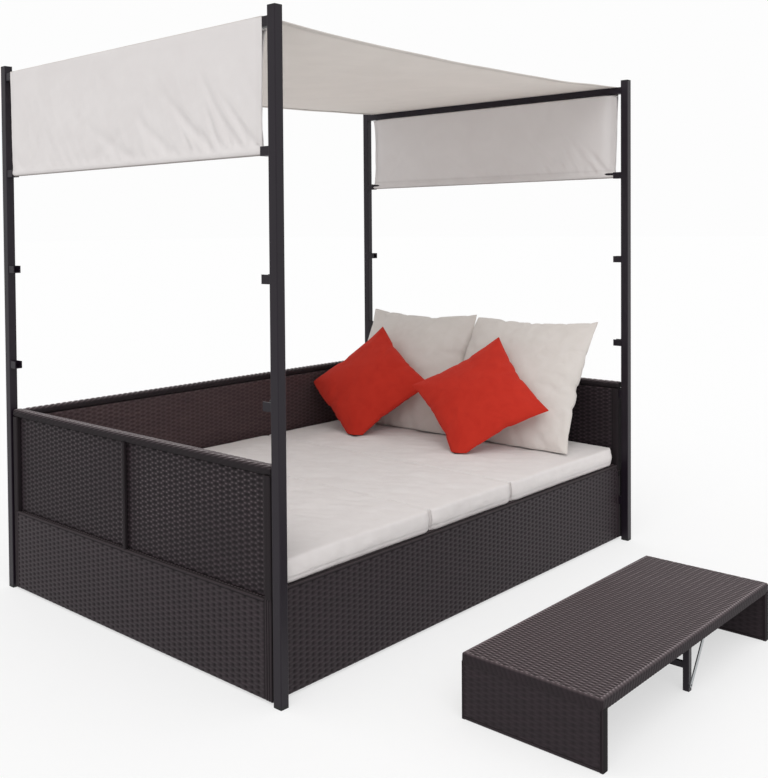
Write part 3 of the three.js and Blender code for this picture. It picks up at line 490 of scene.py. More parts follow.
def strand_material(name, colour, brown, dip_shade_floor, crest=STRAND_HIGHLIGHT, shine=CREST_SHINE):
    """Flat plastic strand: each strand a tone apart from the next, with painted highlights on its crests,
    painted shade in the dips of the weave, painted light where it faces the sky, and grooved lengthwise."""
    made, tree, shader = finish_material(name, Roughness=0.38, Specular_IOR_Level=0.3)
    place = node(tree, "ShaderNodeUVMap", {}, uv_map="strand")
    parts = node(tree, "ShaderNodeSeparateXYZ", {0: place}, None)
    number = node(tree, "ShaderNodeMath", {0: parts["Y"]}, operation="FLOOR")
    slow = node(tree, "ShaderNodeMath", {0: parts["X"], 1: 0.11}, operation="MULTIPLY")
    apart = node(tree, "ShaderNodeMath", {0: number, 1: 7.3}, operation="MULTIPLY")
    stretch = node(tree, "ShaderNodeCombineXYZ", {"X": slow, "Y": apart})
    tone = node(tree, "ShaderNodeTexNoise", {"Vector": stretch, "Scale": 1.7, "Detail": 2.0})
    strand = {"Factor": tone, 6: linear(colour), 7: linear(brown)}
    strand = node(tree, "ShaderNodeMix", strand, 2, data_type="RGBA")

    # Painted highlights on the crests: in patches, fewer towards the back, and all over where the strand
    # faces the sky, which is painted paler too
    depth = node(tree, "ShaderNodeAttribute", {}, "Fac", attribute_name="depth")
    painted_light_share = {"Value": depth, "From Min": CREST[0], "From Max": CREST[1], "To Max": shine}
    painted_light_share = node(tree, "ShaderNodeMapRange", painted_light_share)
    spot = node(tree, "ShaderNodeTexCoord", {}, None)
    patches = {"Vector": spot["Object"], "Scale": 1 / HIGHLIGHT_PATCH, "Detail": 2.0}
    patches = node(tree, "ShaderNodeTexNoise", patches)
    patchy = {"Value": patches, "From Min": 0.42, "From Max": 0.62, "To Min": 0.15, "To Max": 1.0}
    patchy = node(tree, "ShaderNodeMapRange", patchy)
    backward = node(tree, "ShaderNodeSeparateXYZ", {0: spot["Object"]}, "Y")
    frontward_highlight = {"Value": backward, "From Min": HIGHLIGHT_FADE[0], "From Max": HIGHLIGHT_FADE[1], "To Min": 1.0, "To Max": 0.12}
    frontward_highlight = node(tree, "ShaderNodeMapRange", frontward_highlight)
    patchy = node(tree, "ShaderNodeMath", {0: patchy, 1: frontward_highlight}, operation="MULTIPLY")
    skyward = node(tree, "ShaderNodeSeparateXYZ", {0: spot["Normal"]}, "Z")
    skylit = {"Value": skyward, "From Min": 0.3, "From Max": 0.95, "To Max": SKYLIT_SHARE}
    skylit = node(tree, "ShaderNodeMapRange", skylit)
    where = node(tree, "ShaderNodeMath", {0: patchy, 1: skylit}, operation="MAXIMUM")
    gleam = node(tree, "ShaderNodeMath", {0: painted_light_share, 1: where}, operation="MULTIPLY")

    # Painted light: faces turned to the sky are painted paler
    skylit_colour = {"Factor": skylit, 6: strand, 7: linear(STRAND_SKYLIT)}
    skylit_colour = node(tree, "ShaderNodeMix", skylit_colour, 2, data_type="RGBA")
    # Painted highlight: the crests turn towards pale grey
    highlighted = {"Factor": gleam, 6: skylit_colour, 7: linear(crest)}
    highlighted = node(tree, "ShaderNodeMix", highlighted, 2, data_type="RGBA")
    # Painted shade: the lower the weave, the darker its colour
    dip_shade = node(tree, "ShaderNodeMapRange", {"Value": depth, "From Max": 0.75, "To Min": dip_shade_floor, "To Max": 1.0})
    dip_shaded = node(tree, "ShaderNodeVectorMath", {0: highlighted, "Scale": dip_shade}, operation="SCALE")
    matt = node(tree, "ShaderNodeMapRange", {"Value": depth, "To Min": 0.9, "To Max": 0.34})
    groove = node(tree, "ShaderNodeMath", {0: parts["Y"], 1: 2 * math.pi * GROOVES}, operation="MULTIPLY")
    groove = node(tree, "ShaderNodeMath", {0: groove}, operation="SINE")
    relief = node(tree, "ShaderNodeBump", {"Height": groove, "Strength": 0.35, "Distance": GROOVE_DEPTH})
    feed(tree, shader, {"Base Color": dip_shaded, "Roughness": matt, "Normal": relief})
    return made


# Woven polyethylene strand: extruded flat, its face grooved lengthwise by the die. It is brown black,
# with a waxy shine and painted highlights on its crests, and painted shade in its dips.
woven_strand = strand_material("woven_polyethylene_strand", STRAND_COLOUR, STRAND_BROWN, 0.22)

for place, way in (("left", -Y), ("right", Y), ("back", -X)):
    panel = woven_panel(*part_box(f"{place}_skirt"), way, Z)
    woven_piece(f"{place}_woven_skirt", [panel], "bed", f"{place}_skirt")

# The front skirt rises between the end walls to carry the pads' edge, and has a lip turned in on top.
# Its lower ends, in front of the end walls, are wound.
SKIRT_THICKNESS, SKIRT_END, END_PITCH, END_ROUND = 0.012, 0.0237, 0.0079, 0.003
LIP_HEIGHT, LIP_STRANDS, LIP_RELIEF, LIP_ROUND = 0.004, 2, 0.0005, 0.0015
low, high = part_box("front_skirt")
front, face = low[1], low[1] + SKIRT_THICKNESS
wall_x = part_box("back_skirt")[1][0] - SKIRT_END
skirt_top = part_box("left_skirt")[1][2]
shells = [woven_panel([-wall_x, front, low[2]], [wall_x, face, high[2]], X, Z, end_strip=0.0)]
for start, end in ((wall_x, high[0]), (-high[0], -wall_x)):
    bar = [start, front, low[2]], [end, face, skirt_top]
    shells.append(wound_bar(*bar, 0, END_PITCH, radius=END_ROUND, side_depth=PLAIN_DEPTH))
bar = [-wall_x, face, high[2] - LIP_HEIGHT], [wall_x, high[1], high[2]]
shells.append(wound_bar(*bar, 0, 0, LIP_STRANDS, LIP_RELIEF, LIP_ROUND, painted_light_share=PLAIN_DEPTH))
woven_piece("front_woven_skirt", shells, "bed", "front_skirt")


# Walls: at the foot end, at the pillow end and along the back, a frame of box tubes holds panels woven
# on both sides, a little behind the stiles outside. Each tube is wound with the same strand, slanting
# round the top rails like the turns of a rope.
RAIL_HEIGHT, RAIL_PITCH, RAIL_SLANT, RAIL_RELIEF, RAIL_ROUND = 0.026, 0.0238, 6, 0.0044, 0.010
RAIL_SIDE = 0.25  # the depth kept on the rails' sides, which the material paints dark, while painted highlights light their tops
STILE_WIDTH, STILE_STRANDS, STILE_RELIEF, STILE_CELL = 0.025, 14, 0.0012, 0.0022
MIDDLE_WIDTH, MIDDLE_STRANDS, MIDDLE_ROUND, MIDDLE_CELL = 0.012, 6, 0.003, 0.002
# The third value is the share of its depth that the sill keeps, for fewer painted highlights and darker
# painted shade
RECESS, SILL_HEIGHT, SILL_LIGHT_SHARE, PANEL_THICKNESS = 0.012, 0.0249, 0.7, 0.0234
BACK_MIDDLE = 0.3037  # the back wall's two middle stiles stand so far from its middle


def wall(name, axis, side, middles, frame_strand, panel_strand):
    """One wall: its panel, top rail, sill, end tubes and middle stiles, each in its place in the box of the
    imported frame. axis is the way it runs, side the sign of the way it faces out."""
    low, high = (np.array(corner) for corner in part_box(f"{name}_frame"))
    across = 1 - axis
    inner, outer = (low, high) if side > 0 else (high, low)
    rail_z, sill_z = high[2] - RAIL_HEIGHT, low[2] + SILL_HEIGHT

    def part(near, far, from_z, to_z, start=low[axis], end=high[axis]):
        """The part of the frame's box from near to far of its inner face and between the places given."""
        box_low, box_high = low.copy(), high.copy()
        box_low[across], box_high[across] = sorted((inner[across] + side * near, inner[across] + side * far))
        box_low[2], box_high[2] = from_z, to_z
        box_low[axis], box_high[axis] = start, end
        return box_low, box_high

    depth = abs(outer - inner)[across]
    rail = part(0, depth, rail_z, high[2])
    sill = part(0, PANEL_THICKNESS, low[2], sill_z)
    shells = [
        wound_bar(*rail, axis, RAIL_PITCH, RAIL_SLANT, RAIL_RELIEF, RAIL_ROUND, side_depth=RAIL_SIDE),
        wound_bar(*sill, axis, WEAVE[0] / 2, painted_light_share=SILL_LIGHT_SHARE),
    ]
    for start, end in ((low[axis], low[axis] + STILE_WIDTH), (high[axis] - STILE_WIDTH, high[axis])):
        stile = part(0, depth, sill_z, rail_z, start, end)
        shells.append(
            wound_bar(*stile, 2, 0, STILE_STRANDS, STILE_RELIEF, cell=STILE_CELL, side_depth=RAIL_SIDE)
        )
    for middle in middles:
        ends = middle - MIDDLE_WIDTH / 2, middle + MIDDLE_WIDTH / 2
        stile = part(depth - RECESS, depth, sill_z, rail_z, *ends)
        shells.append(
            wound_bar(*stile, 2, 0, MIDDLE_STRANDS, STILE_RELIEF, MIDDLE_ROUND, MIDDLE_CELL, RAIL_SIDE)
        )
    woven_piece(f"{name}_frame_wound", shells, "bed", f"{name}_frame", frame_strand)
    way = np.cross(Z, side * np.eye(3)[across])
    panel = woven_panel(*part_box(f"{name}_weave"), way, Z, end_strip=0.0, binding=0.0, humps=WALL_HUMPS)
    woven_piece(f"{name}_panel", [panel], "bed", f"{name}_weave", panel_strand)


# Lit copy of the strand for the back wall's inner face: painted lighter and redder for the light that falls
# there, with less painted shade in its dips
LIT_FACE_COLOUR, LIT_FACE_BROWN = "#35262A", "#534142"
lit_face_strand = strand_material("woven_polyethylene_strand_lit_inner_face", LIT_FACE_COLOUR, LIT_FACE_BROWN, 0.6)
# Rail strand: the same on the end walls' rails, whose turns carry pale grey painted highlights at full
# strength and darker painted shade in their dips
RAIL_HIGHLIGHT = "#D2CACB"
rail_highlight_strand = strand_material(
    "woven_polyethylene_strand_rail_highlights", STRAND_COLOUR, STRAND_BROWN, 0.15, RAIL_HIGHLIGHT, shine=1.0
)
wall("left_wall", 1, -1, [0.0], rail_highlight_strand, woven_strand)
wall("right_wall", 1, 1, [0.0], rail_highlight_strand, woven_strand)
wall("back_wall", 0, 1, [-BACK_MIDDLE, BACK_MIDDLE], woven_strand, lit_face_strand)
# The panel's outer face takes the plain strand; the inner face keeps the lit copy and its painted light
back_panel = bpy.data.objects["back_wall_panel"].data
back_panel.materials.append(woven_strand)
facing = np.zeros(3 * len(back_panel.polygons), np.float32)
back_panel.polygons.foreach_get("normal", facing)
back_panel.polygons.foreach_set("material_index", (facing[1::3] > 0).astype(np.int32))


# Pads: three foam cushions side by side in sewn covers of woven olefin, off white. The covers are a
# little loose: their edges are round, their sides bulge, and their tops are crowned and faintly creased.
PAD_EDGE, PAD_JOINT_EDGE, PAD_DRAW_IN, PAD_CROWN, PAD_BULGE = 0.014, 0.006, 0.003, 0.006, 0.004
PAD_NOTCH, NOTCH_WIDTH = 0.012, 0.016  # how far the corners between two pads stand back at the front
JOINT_TUCK, CORNER_TUCK = 0.0008, 0.013  # how far the cover is drawn in between two pads, and at corners
PAD_CELL, PAD_BELTS, ARC_CELLS = 0.012, 5, 5
CREASE_DEPTH, BROAD_CREASE, SLANT_CREASE, FINE_CREASE = 0.0033, 0.23, 0.05, 0.09
SLANT_SHARE, FINE_SHARE, SLANT, SLANT_STRETCH = 0.7, 0.5, (0.8, 0.6), 0.25
CREASE_ROOM = 0.0026  # the crown lies so far under the pad's height, which its creases may reach
EDGE_WAVE, EDGE_SPACING = 0.0022, 0.07
SIDE_SLACK, SIDE_WAVE, SIDE_SPACINGS = 0.6, 0.45, (0.055, 0.17)
PAD_COLOUR, PAD_SHADE = "#E6E1E0", "#DBD5D3"
# The real threads lie under a millimetre apart, too fine to show, so they are drawn coarser
THREAD_SPACING, CLOTH_WRINKLE, WRINKLE_DEPTH = 0.0022, 0.05, 0.0048
THREAD_DEPTH = 0.2  # of the thread's spacing
OTHER_FACE = 1.0  # how far on the pattern of a cover's other face starts
BELT_STEP, BELT_SHIFT = 0.009, 0.02


def ripples(places, spacing, seed, waves=14):
    """Smooth noise from -1 to 1: the mean of seeded plane waves about one spacing long."""
    random = np.random.default_rng(seed)
    ways = random.normal(size=(waves, places.shape[-1]))
    ways /= np.linalg.norm(ways, axis=1, keepdims=True)
    ways *= 2 * np.pi / spacing * random.uniform(0.6, 1.5, (waves, 1))
    return np.sin(places @ ways.T + random.uniform(0, 2 * np.pi, waves)).mean(-1) * 2


def cloth_material(
    name, colour, shade, thread=THREAD_SPACING, wrinkle=CLOTH_WRINKLE, depth=WRINKLE_DEPTH, **surface
):
    """Woven cloth read from the piece's UV in metres: threads over and under each other bump it, and slow
    noise turns its colour between two shades and creases it."""
    made, tree, shader = finish_material(name, **surface)
    place = node(tree, "ShaderNodeUVMap", {}, uv_map="cloth")
    phase = {0: place, "Scale": 2 * math.pi / thread}
    phase = node(tree, "ShaderNodeVectorMath", phase, operation="SCALE")
    waves = node(tree, "ShaderNodeVectorMath", {0: phase}, operation="SINE")
    both = node(tree, "ShaderNodeSeparateXYZ", {0: waves}, None)
    weave = node(tree, "ShaderNodeMath", {0: both["X"], 1: both["Y"]}, operation="MULTIPLY")
    slow = {"Vector": place, "Scale": 1 / wrinkle, "Detail": 4.0, "Distortion": 0.6}
    slow = node(tree, "ShaderNodeTexNoise", slow)
    tone = {"Factor": slow, 6: linear(colour), 7: linear(shade)}
    tone = node(tree, "ShaderNodeMix", tone, 2, data_type="RGBA")
    crease = node(tree, "ShaderNodeBump", {"Height": slow, "Strength": 0.5, "Distance": depth})
    threads = {"Height": weave, "Strength": 0.35, "Distance": THREAD_DEPTH * thread, "Normal": crease}
    threads = node(tree, "ShaderNodeBump", threads)
    feed(tree, shader, {"Base Color": tone, "Normal": threads})
    return made


# Olefin canvas, piece dyed off white: quite matt, its threads just showing, a little fuzz at the edges
pad_cover = cloth_material(
    "off_white_olefin_canvas", PAD_COLOUR, PAD_SHADE, Roughness=0.9, Specular_IOR_Level=0.2, Sheen_Weight=0.15
)


def edge_places(half, edge):
    """Places across a pad with a round edge: the flat part evenly, then a quarter turn at each side. Gives
    the place on the flat part and how far out on the edge's arc, as a sine from -1 to 1."""
    flat = np.linspace(edge - half, half - edge, round(half * 2 / PAD_CELL))
    arc = np.sin(np.linspace(0, np.pi / 2, ARC_CELLS + 1)[1:])
    core = np.pad(flat, ARC_CELLS, "edge")
    return core, np.concatenate([-arc[::-1], np.zeros(len(flat)), arc])


def pad(name, seed):
    """A box pad: a wide round edge at its front and back, a small one where it meets the next pad, a crown
    of (1 - u^4 / 2)(1 - v^4), front and back sides that draw in and bulge, and soft slanting creases."""
    low, high = (np.array(corner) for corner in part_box(name))
    middle, half = (low + high) / 2, (high - low) / 2
    (core_x, out_x), (core_y, out_y) = edge_places(half[0], PAD_JOINT_EDGE), edge_places(half[1], PAD_EDGE)
    core_x, core_y = np.meshgrid(core_x, core_y, indexing="ij")
    out_x, out_y = np.meshgrid(out_x, out_y, indexing="ij")
    reach = np.maximum(abs(out_x), abs(out_y))
    share = reach / np.maximum(np.hypot(out_x, out_y), TINY)
    x = core_x + PAD_JOINT_EDGE * out_x * share
    y = core_y + PAD_EDGE * out_y * share
    front_share = abs(out_y) / np.maximum(abs(out_x) + abs(out_y), TINY)
    edge = PAD_JOINT_EDGE + (PAD_EDGE - PAD_JOINT_EDGE) * front_share
    fall = edge * (1 - np.sqrt(np.maximum(1 - reach**2, 0)))
    u, v = x / half[0], y / half[1]
    notch = PAD_NOTCH * np.exp(-(((half[0] - abs(x)) / NOTCH_WIDTH) ** 2))
    y -= np.sign(v) * (PAD_DRAW_IN * (1 - u**2) + notch) * abs(v) ** 6
    crown = PAD_CROWN * (1 - (1 - u**4 / 2) * (1 - v**4))
    flat = np.stack([x, y], -1)
    slanting = np.stack([SLANT[0] * x + SLANT[1] * y, SLANT_STRETCH * (SLANT[0] * y - SLANT[1] * x)], -1)
    creases = ripples(flat, BROAD_CREASE, seed) + SLANT_SHARE * ripples(slanting, SLANT_CREASE, seed + 1)
    creases += FINE_SHARE * ripples(flat, FINE_CREASE, seed + 5)
    soft = CREASE_DEPTH * creases * np.clip((1 - v**6) * (1.15 - u**8), 0, 1)
    way = np.stack([out_x, out_y], -1) * share[..., None]
    tuck_x = JOINT_TUCK + CORNER_TUCK * abs(way[..., 1])
    tuck_y = PAD_BULGE + EDGE_WAVE * (1 + ripples(flat, EDGE_SPACING, seed + 2))
    across = middle[:2] + flat - way * np.stack([tuck_x, tuck_y], -1)
    levels = high[2] - crown - CREASE_ROOM - fall + soft, low[2] + fall
    upper, lower = (np.append(across, level[..., None], -1) for level in levels)

    # Its side: belts between top and base that bulge out at the front and back
    ring = rim(*x.shape)
    top, base, seam, out = (grid.reshape(-1, grid.shape[-1])[ring] for grid in (upper, lower, flat, way))
    belts = []
    for part in np.arange(1, PAD_BELTS + 1) / (PAD_BELTS + 1):
        slack = ripples(seam + BELT_SHIFT * part, SIDE_SPACINGS[0], seed + 4)
        slack += ripples(seam, SIDE_SPACINGS[1], seed + 6)
        bulge = PAD_BULGE * (SIDE_SLACK + SIDE_WAVE * slack) * np.sin(np.pi * part)
        belts.append((1 - part) * top + part * base + (bulge * out[:, 1])[:, None] * Y)
    points, faces = slab(upper, lower, belts)
    uv = [flat.reshape(-1, 2), flat.reshape(-1, 2) + OTHER_FACE]
    uv = np.concatenate(uv + [seam + out * BELT_STEP * (belt + 1) for belt in range(PAD_BELTS)])[faces]
    piece = make_piece(
        f"{name}_cover", points, faces, {"cloth": uv}, {}, pad_cover, name, name, sharp=60
    )


for seed, name in enumerate(("pad_left", "pad_middle", "pad_right")):
    pad(name, 10 * seed + 3)


# Cream pillows: two large ones, each a pair of cloth panels sewn together and filled with fibre. They
# lean on the pillow end's wall. Their sides draw in between pointed corners, the cloth puckers along the
# seams, and they are pressed flat where they rest on the pad.
WALL_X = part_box("right_wall_frame")[0][0]
PAD_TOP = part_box("pad_right")[1][2]
WALL_GAP, PAD_GAP, SETTLE = 0.0008, 0.0012, 0.012  # a pillow flattens over the last stretch above the pad
PILLOW_CELLS, SEWN_CELLS, FILLING_FRAMES = 90, 60, 34
SEAM_RADIUS, SEAM_SIDES, SEAM_STEP, SEAM_TURN = 0.0024, 6, 0.006, 0.002
SEWN_SWELL, SEWN_RIPPLE, SEWN_SPACING = 0.012, 0.005, 0.3  # the panels' slight rise before they are filled
WRINKLE_REACH, FACE_WRINKLES, SIDEWAYS = 0.010, 0.25, 0.7
PILLOW_ROUND = 0.52
FOLD_DEPTH, FOLD_SPACING, FINE_FOLD, FINE_SPACING = 0.004, 0.26, 0.0012, 0.075


def tube_round(path, radius, sides):
    """A closed welt: circles of one radius across a closed path. Gives its points and its quads, whose
    corners are counted from the next circle."""
    ahead = np.roll(path, -1, 0) - np.roll(path, 1, 0)
    ahead /= np.linalg.norm(ahead, axis=1, keepdims=True)
    out = path - path.mean(0)
    out -= (out * ahead).sum(1, keepdims=True) * ahead
    out /= np.linalg.norm(out, axis=1, keepdims=True)
    turn = (np.arange(sides) / sides * 2 * np.pi)[None, :, None]
    circle = np.cos(turn) * out[:, None] + np.sin(turn) * np.cross(ahead, out)[:, None]
    faces = np.roll(grid_faces(len(path), sides, 1, 1), -1, 1)
    return (path[:, None] + radius * circle).reshape(-1, 3), faces


def pillow_ways(turn, lean, roll):
    """A leaning pillow's own directions: across it, up it, and out of its face."""
    turn, lean, roll = (math.radians(angle) for angle in (turn, lean, roll))
    face = np.array([-math.cos(turn) * math.cos(lean), -math.sin(turn) * math.cos(lean), math.sin(lean)])
    across = np.array([math.sin(turn), -math.cos(turn), 0.0])
    rise = np.cross(face, across)
    first = math.cos(roll) * across + math.sin(roll) * rise
    return np.array([first, math.cos(roll) * rise - math.sin(roll) * across, face])


def sewn_faces(rows, columns):
    """Quads of two like grids sewn along their border, the second facing the other way: their own point
    numbers, and for each point of both grids the number that it goes by."""
    faces, ring, count = grid_faces(rows, columns), rim(rows, columns), rows * columns
    number = np.arange(2 * count)
    number[ring + count] = ring
    return number[np.concatenate([faces, faces[:, ::-1] + count])], number


def inflated(width, height, seed):
    """Where cloth goes when it is sewn from two flat panels and filled: Blender's cloth under pressure, with
    no gravity. Gives the places of both panels' points, on even grids."""
    even = np.linspace(-1, 1, SEWN_CELLS + 1)
    u, v = np.meshgrid(even, even, indexing="ij")
    swell = (1 - u**2) * (1 - v**2)
    flat = np.stack([u * width / 2, v * height / 2], -1)
    panels = []
    for side in (1, -1):
        rise = side * SEWN_SWELL * swell + SEWN_RIPPLE * ripples(flat, SEWN_SPACING, seed + side) * swell
        panels.append(np.append(flat, rise[..., None], -1).reshape(-1, 3))
    faces, number = sewn_faces(*u.shape)
    kept, faces = np.unique(faces, return_inverse=True)
    mesh = bpy.data.meshes.new("sewn_panels")
    mesh.from_pydata(np.concatenate(panels)[kept], [], faces.reshape(-1, 4).tolist())
    sewn = placed("sewn_panels", mesh)
    cloth = sewn.modifiers.new("cloth", "CLOTH")
    cloth.settings.quality = 5
    cloth.settings.mass = 0.15
    cloth.settings.tension_stiffness = cloth.settings.compression_stiffness = 15
    cloth.settings.shear_stiffness = 9
    cloth.settings.bending_stiffness = 0.02
    cloth.settings.air_damping = 3
    cloth.settings.use_pressure = True
    cloth.settings.uniform_pressure_force = 8
    cloth.settings.effector_weights.gravity = 0
    cloth.collision_settings.use_collision = False
    cloth.point_cache.frame_end = FILLING_FRAMES
    for moment in range(1, FILLING_FRAMES + 1):
        bpy.context.scene.frame_set(moment)
    filled = sewn.evaluated_get(bpy.context.evaluated_depsgraph_get()).data
    places = np.empty(len(kept) * 3, np.float32)
    filled.vertices.foreach_get("co", places)
    bpy.context.scene.frame_set(1)
    bpy.data.objects.remove(sewn)
    bpy.data.meshes.remove(mesh)
    return places.reshape(-1, 3)[np.searchsorted(kept, number)].reshape(2, *u.shape, 3).astype(float)


def wrinkles(width, height, seed):
    """What the filling does beyond the plain swell: each panel's places less their best fit by smooth
    functions u^i v^j and the same times the swell's root."""
    places = inflated(width, height, seed)
    even = np.linspace(-1, 1, SEWN_CELLS + 1)
    u, v = (flat.ravel() for flat in np.meshgrid(even, even, indexing="ij"))
    root = ((1 - u**2) * (1 - v**2)) ** 0.5
    powers = [u**i * v**j for i in range(5) for j in range(5)]
    smooth = np.stack(powers + [power * root for power in powers], -1)
    panels = places.reshape(2, -1, 3)
    fits = [smooth @ np.linalg.lstsq(smooth, panel, rcond=None)[0] for panel in panels]
    return np.clip((panels - np.stack(fits)).reshape(places.shape), -WRINKLE_REACH, WRINKLE_REACH)


def pillow(name, middle, ways, size, swell, draw_in, blunt, seed, material, slot, wrinkled):
    """Two panels of cloth about a closed seam: place = u(w/2 - d(1 - v^2)) across and the like up, and
    thickness (1 - u^2)^p (1 - v^2)^p, with the wrinkles of the filling, pressed flat on the pad. One
    corner may be blunt by so much."""
    side = np.sin(np.linspace(-np.pi / 2, np.pi / 2, PILLOW_CELLS + 1))
    u, v = np.meshgrid(side, side, indexing="ij")
    (width, height), (at_start, at_end, at_foot, at_top) = size, draw_in
    limp = blunt * np.clip(-u * v, 0, 1) ** 4 * (u < 0) * (v > 0)
    x = u * (width / 2 - np.where(u < 0, at_start, at_end) * (1 - v**2)) + limp
    y = v * (height / 2 - np.where(v < 0, at_foot, at_top) * (1 - u**2)) - limp
    shape = np.maximum((1 - u**2) * (1 - v**2), 0)
    flat = np.stack([u * width / 2, v * height / 2], -1)
    even = np.linspace(-1, 1, SEWN_CELLS + 1)
    hats = np.maximum(1 - abs(side[:, None] - even) * SEWN_CELLS / 2, 0)
    strength = FACE_WRINKLES + (1 - FACE_WRINKLES) * (1 - shape) ** 1.5
    detail = np.einsum("ai,bj,sijk->sabk", hats, hats, wrinkled) * strength[..., None]
    panels = []
    for panel, rise in enumerate((swell[0], -swell[1])):
        crease = FOLD_DEPTH * ripples(flat, FOLD_SPACING, seed + 7 + panel) - FOLD_DEPTH
        crease += FINE_FOLD * ripples(flat, FINE_SPACING, seed + 9 + panel)
        out = rise * shape**PILLOW_ROUND + np.sign(rise) * crease * np.minimum(shape * 9, 1) ** 0.7
        moved = np.stack([x, y, out], -1) + detail[panel] * [SIDEWAYS, SIDEWAYS, 1]
        panels.append((middle + moved @ ways).reshape(-1, 3))
    ring = rim(*u.shape)
    welt, welt_faces = tube_round(panels[0][ring], SEAM_RADIUS, SEAM_SIDES)
    welt_u = np.repeat((np.arange(len(ring)) + 1) * SEAM_STEP, SEAM_SIDES)
    welt_v = np.tile(np.arange(SEAM_SIDES) * SEAM_TURN, len(ring))
    points = np.concatenate([*panels, welt])
    faces = np.concatenate([sewn_faces(*u.shape)[0], welt_faces + 2 * u.size])
    flat = flat.reshape(-1, 2)
    uv = np.concatenate([flat, flat + OTHER_FACE, np.stack([welt_u, welt_v], -1)])[faces]
    kept, faces = np.unique(faces, return_inverse=True)
    points, faces = points[kept], faces.reshape(-1, 4)
    ground = PAD_TOP + PAD_GAP
    over = np.clip((points[:, 2] - ground) / SETTLE, 0, 1)
    points[:, 2] = np.where(over < 1, ground + SETTLE * (over**2 + over) / 2, points[:, 2])
    points[:, 0] = np.minimum(points[:, 0], WALL_X - WALL_GAP)
    piece = make_piece(
        f"{name}_cover", points, faces, {"cloth": uv}, {}, material, name, name, sharp=80
    )


# Cotton and polyester canvas, warm off white, softer than the pads' cover and a little brushed
CREAM_COLOUR, CREAM_SHADE = "#DFD9D5", "#D2CBC5"
cream_canvas = cloth_material(
    "cream_pillow_canvas",
    CREAM_COLOUR,
    CREAM_SHADE,
    Roughness=0.92,
    Specular_IOR_Level=0.15,
    Sheen_Weight=0.2,
)
CREAM_SIZE, CREAM_SWELL, CREAM_WRINKLES = (0.548, 0.530), (0.090, 0.126), 0.85
CREAM_X, CREAM_Z, CREAM_LEAN = 0.7703, 0.5931, 27
# Of each: its place along Y, how far its sides draw in, its blunt corner and its seed
CREAM_PAIR = {
    "pillow_cream_left": (0.2800, (0.022, 0.003, 0.0, 0.024), 0.0, 21),
    "pillow_cream_right": (-0.2700, (0.002, 0.026, 0.0, 0.022), 0.011, 41),
}


def wrinkled_pair(size, share, seed):
    """The wrinkles of a pair of pillows: the second has the first's, turned half round."""
    first = share * wrinkles(*size, seed)
    return first, first[:, ::-1, ::-1] * [-1, -1, 1]


cream_ways = pillow_ways(0, CREAM_LEAN, 0)
for name, wrinkled in zip(CREAM_PAIR, wrinkled_pair(CREAM_SIZE, CREAM_WRINKLES, 3)):
    middle_y, *own = CREAM_PAIR[name]
    middle = np.array([CREAM_X, middle_y, CREAM_Z])
    pillow(name, middle, cream_ways, CREAM_SIZE, CREAM_SWELL, *own, cream_canvas, "cream_cloth", wrinkled)


# Red pillows: two small ones of the same make in a bright red cover, which stand on a corner and lean
# on the large pair.
RED_COLOUR, RED_SHADE = "#CB3829", "#B92C21"
RED_SIZE, RED_WRINKLES = (0.390, 0.390), 0.6
# Red canvas: the same cloth, piece dyed, a soft bloom on its folds
red_canvas = cloth_material(
    "red_pillow_canvas", RED_COLOUR, RED_SHADE, Roughness=0.9, Specular_IOR_Level=0.1, Sheen_Weight=0.05
)
# Of each: its middle, its turn, lean and roll, its swell, how far its sides draw in, its blunt corner
# and its seed
RED_PAIR = {
    "pillow_red_left": (
        (0.5450, 0.3110, 0.5520), (13, 37, 48), (0.062, 0.086), (0.006, 0.020, 0.020, 0.020), 0.011, 61
    ),
    "pillow_red_right": (
        (0.5600, -0.2190, 0.5480), (17, 38.5, 37.7), (0.062, 0.059), (0.020, 0.020, 0.020, 0.020), 0.0, 81
    ),
}
for name, wrinkled in zip(RED_PAIR, wrinkled_pair(RED_SIZE, RED_WRINKLES, 8)):
    middle, angles, *own = RED_PAIR[name]
    pillow(name, middle, pillow_ways(*angles), RED_SIZE, *own, red_canvas, "red_cloth", wrinkled)


# Canopy: one strip of off-white acrylic cloth that lies over both top bars, sewn to the shades at their
# outer edges, and sags between them. A hem is folded under along its front and back edges.
HEM_WIDTH, HEM_STEP, CLOTH_THICKNESS = 0.022, 0.0022, 0.0010
# Painted shade on the hems, where the cloth lies in two layers
HEM_PAINTED_SHADE = 0.25
HEM_TURN, HEM_CELLS = 7, 4
CANOPY_SAG, CANOPY_STEP, CANOPY_COLUMNS = 0.022, 0.012, 70
CANOPY_RIPPLE, CANOPY_SPACING, CANOPY_STRETCH, BAR_FADE = 0.0022, 0.42, (1, 0.5), 0.15
# The canopy's two tones, painted paler and warmer than the shades' for the sun that comes through it, and the
# dark grey towards which painted shade turns the cloth
CANOPY_COLOUR, CANOPY_SHADE, CLOTH_PAINTED_SHADE = "#E9E4DE", "#DFDAD4", "#918A87"
AWNING_THREAD, AWNING_WRINKLE, AWNING_DEPTH = 0.0018, 0.12, 0.0032  # its threads, too, are drawn coarser
SHADE_COLOUR, SHADE_SHADE = "#DFDBDA", "#D6D1D0"
TOP_SPREAD = 0.009  # how much further forward the cloth reaches over the top bars than between the hooks
TURN_OUT, TURN_IN, TURN_DOWN = 0.0012, 0.002, 0.0006  # the canopy's bend over a top bar's outer edge


def resampled(points, step):
    """The same path with even steps of about the length given."""
    points = np.array(points, float)
    way = np.append(0, np.cumsum(np.linalg.norm(np.diff(points, axis=0), axis=1)))
    place = np.linspace(0, way[-1], round(way[-1] / step) + 1)
    return np.stack([np.interp(place, way, points[:, k]) for k in (0, 1)], -1), place


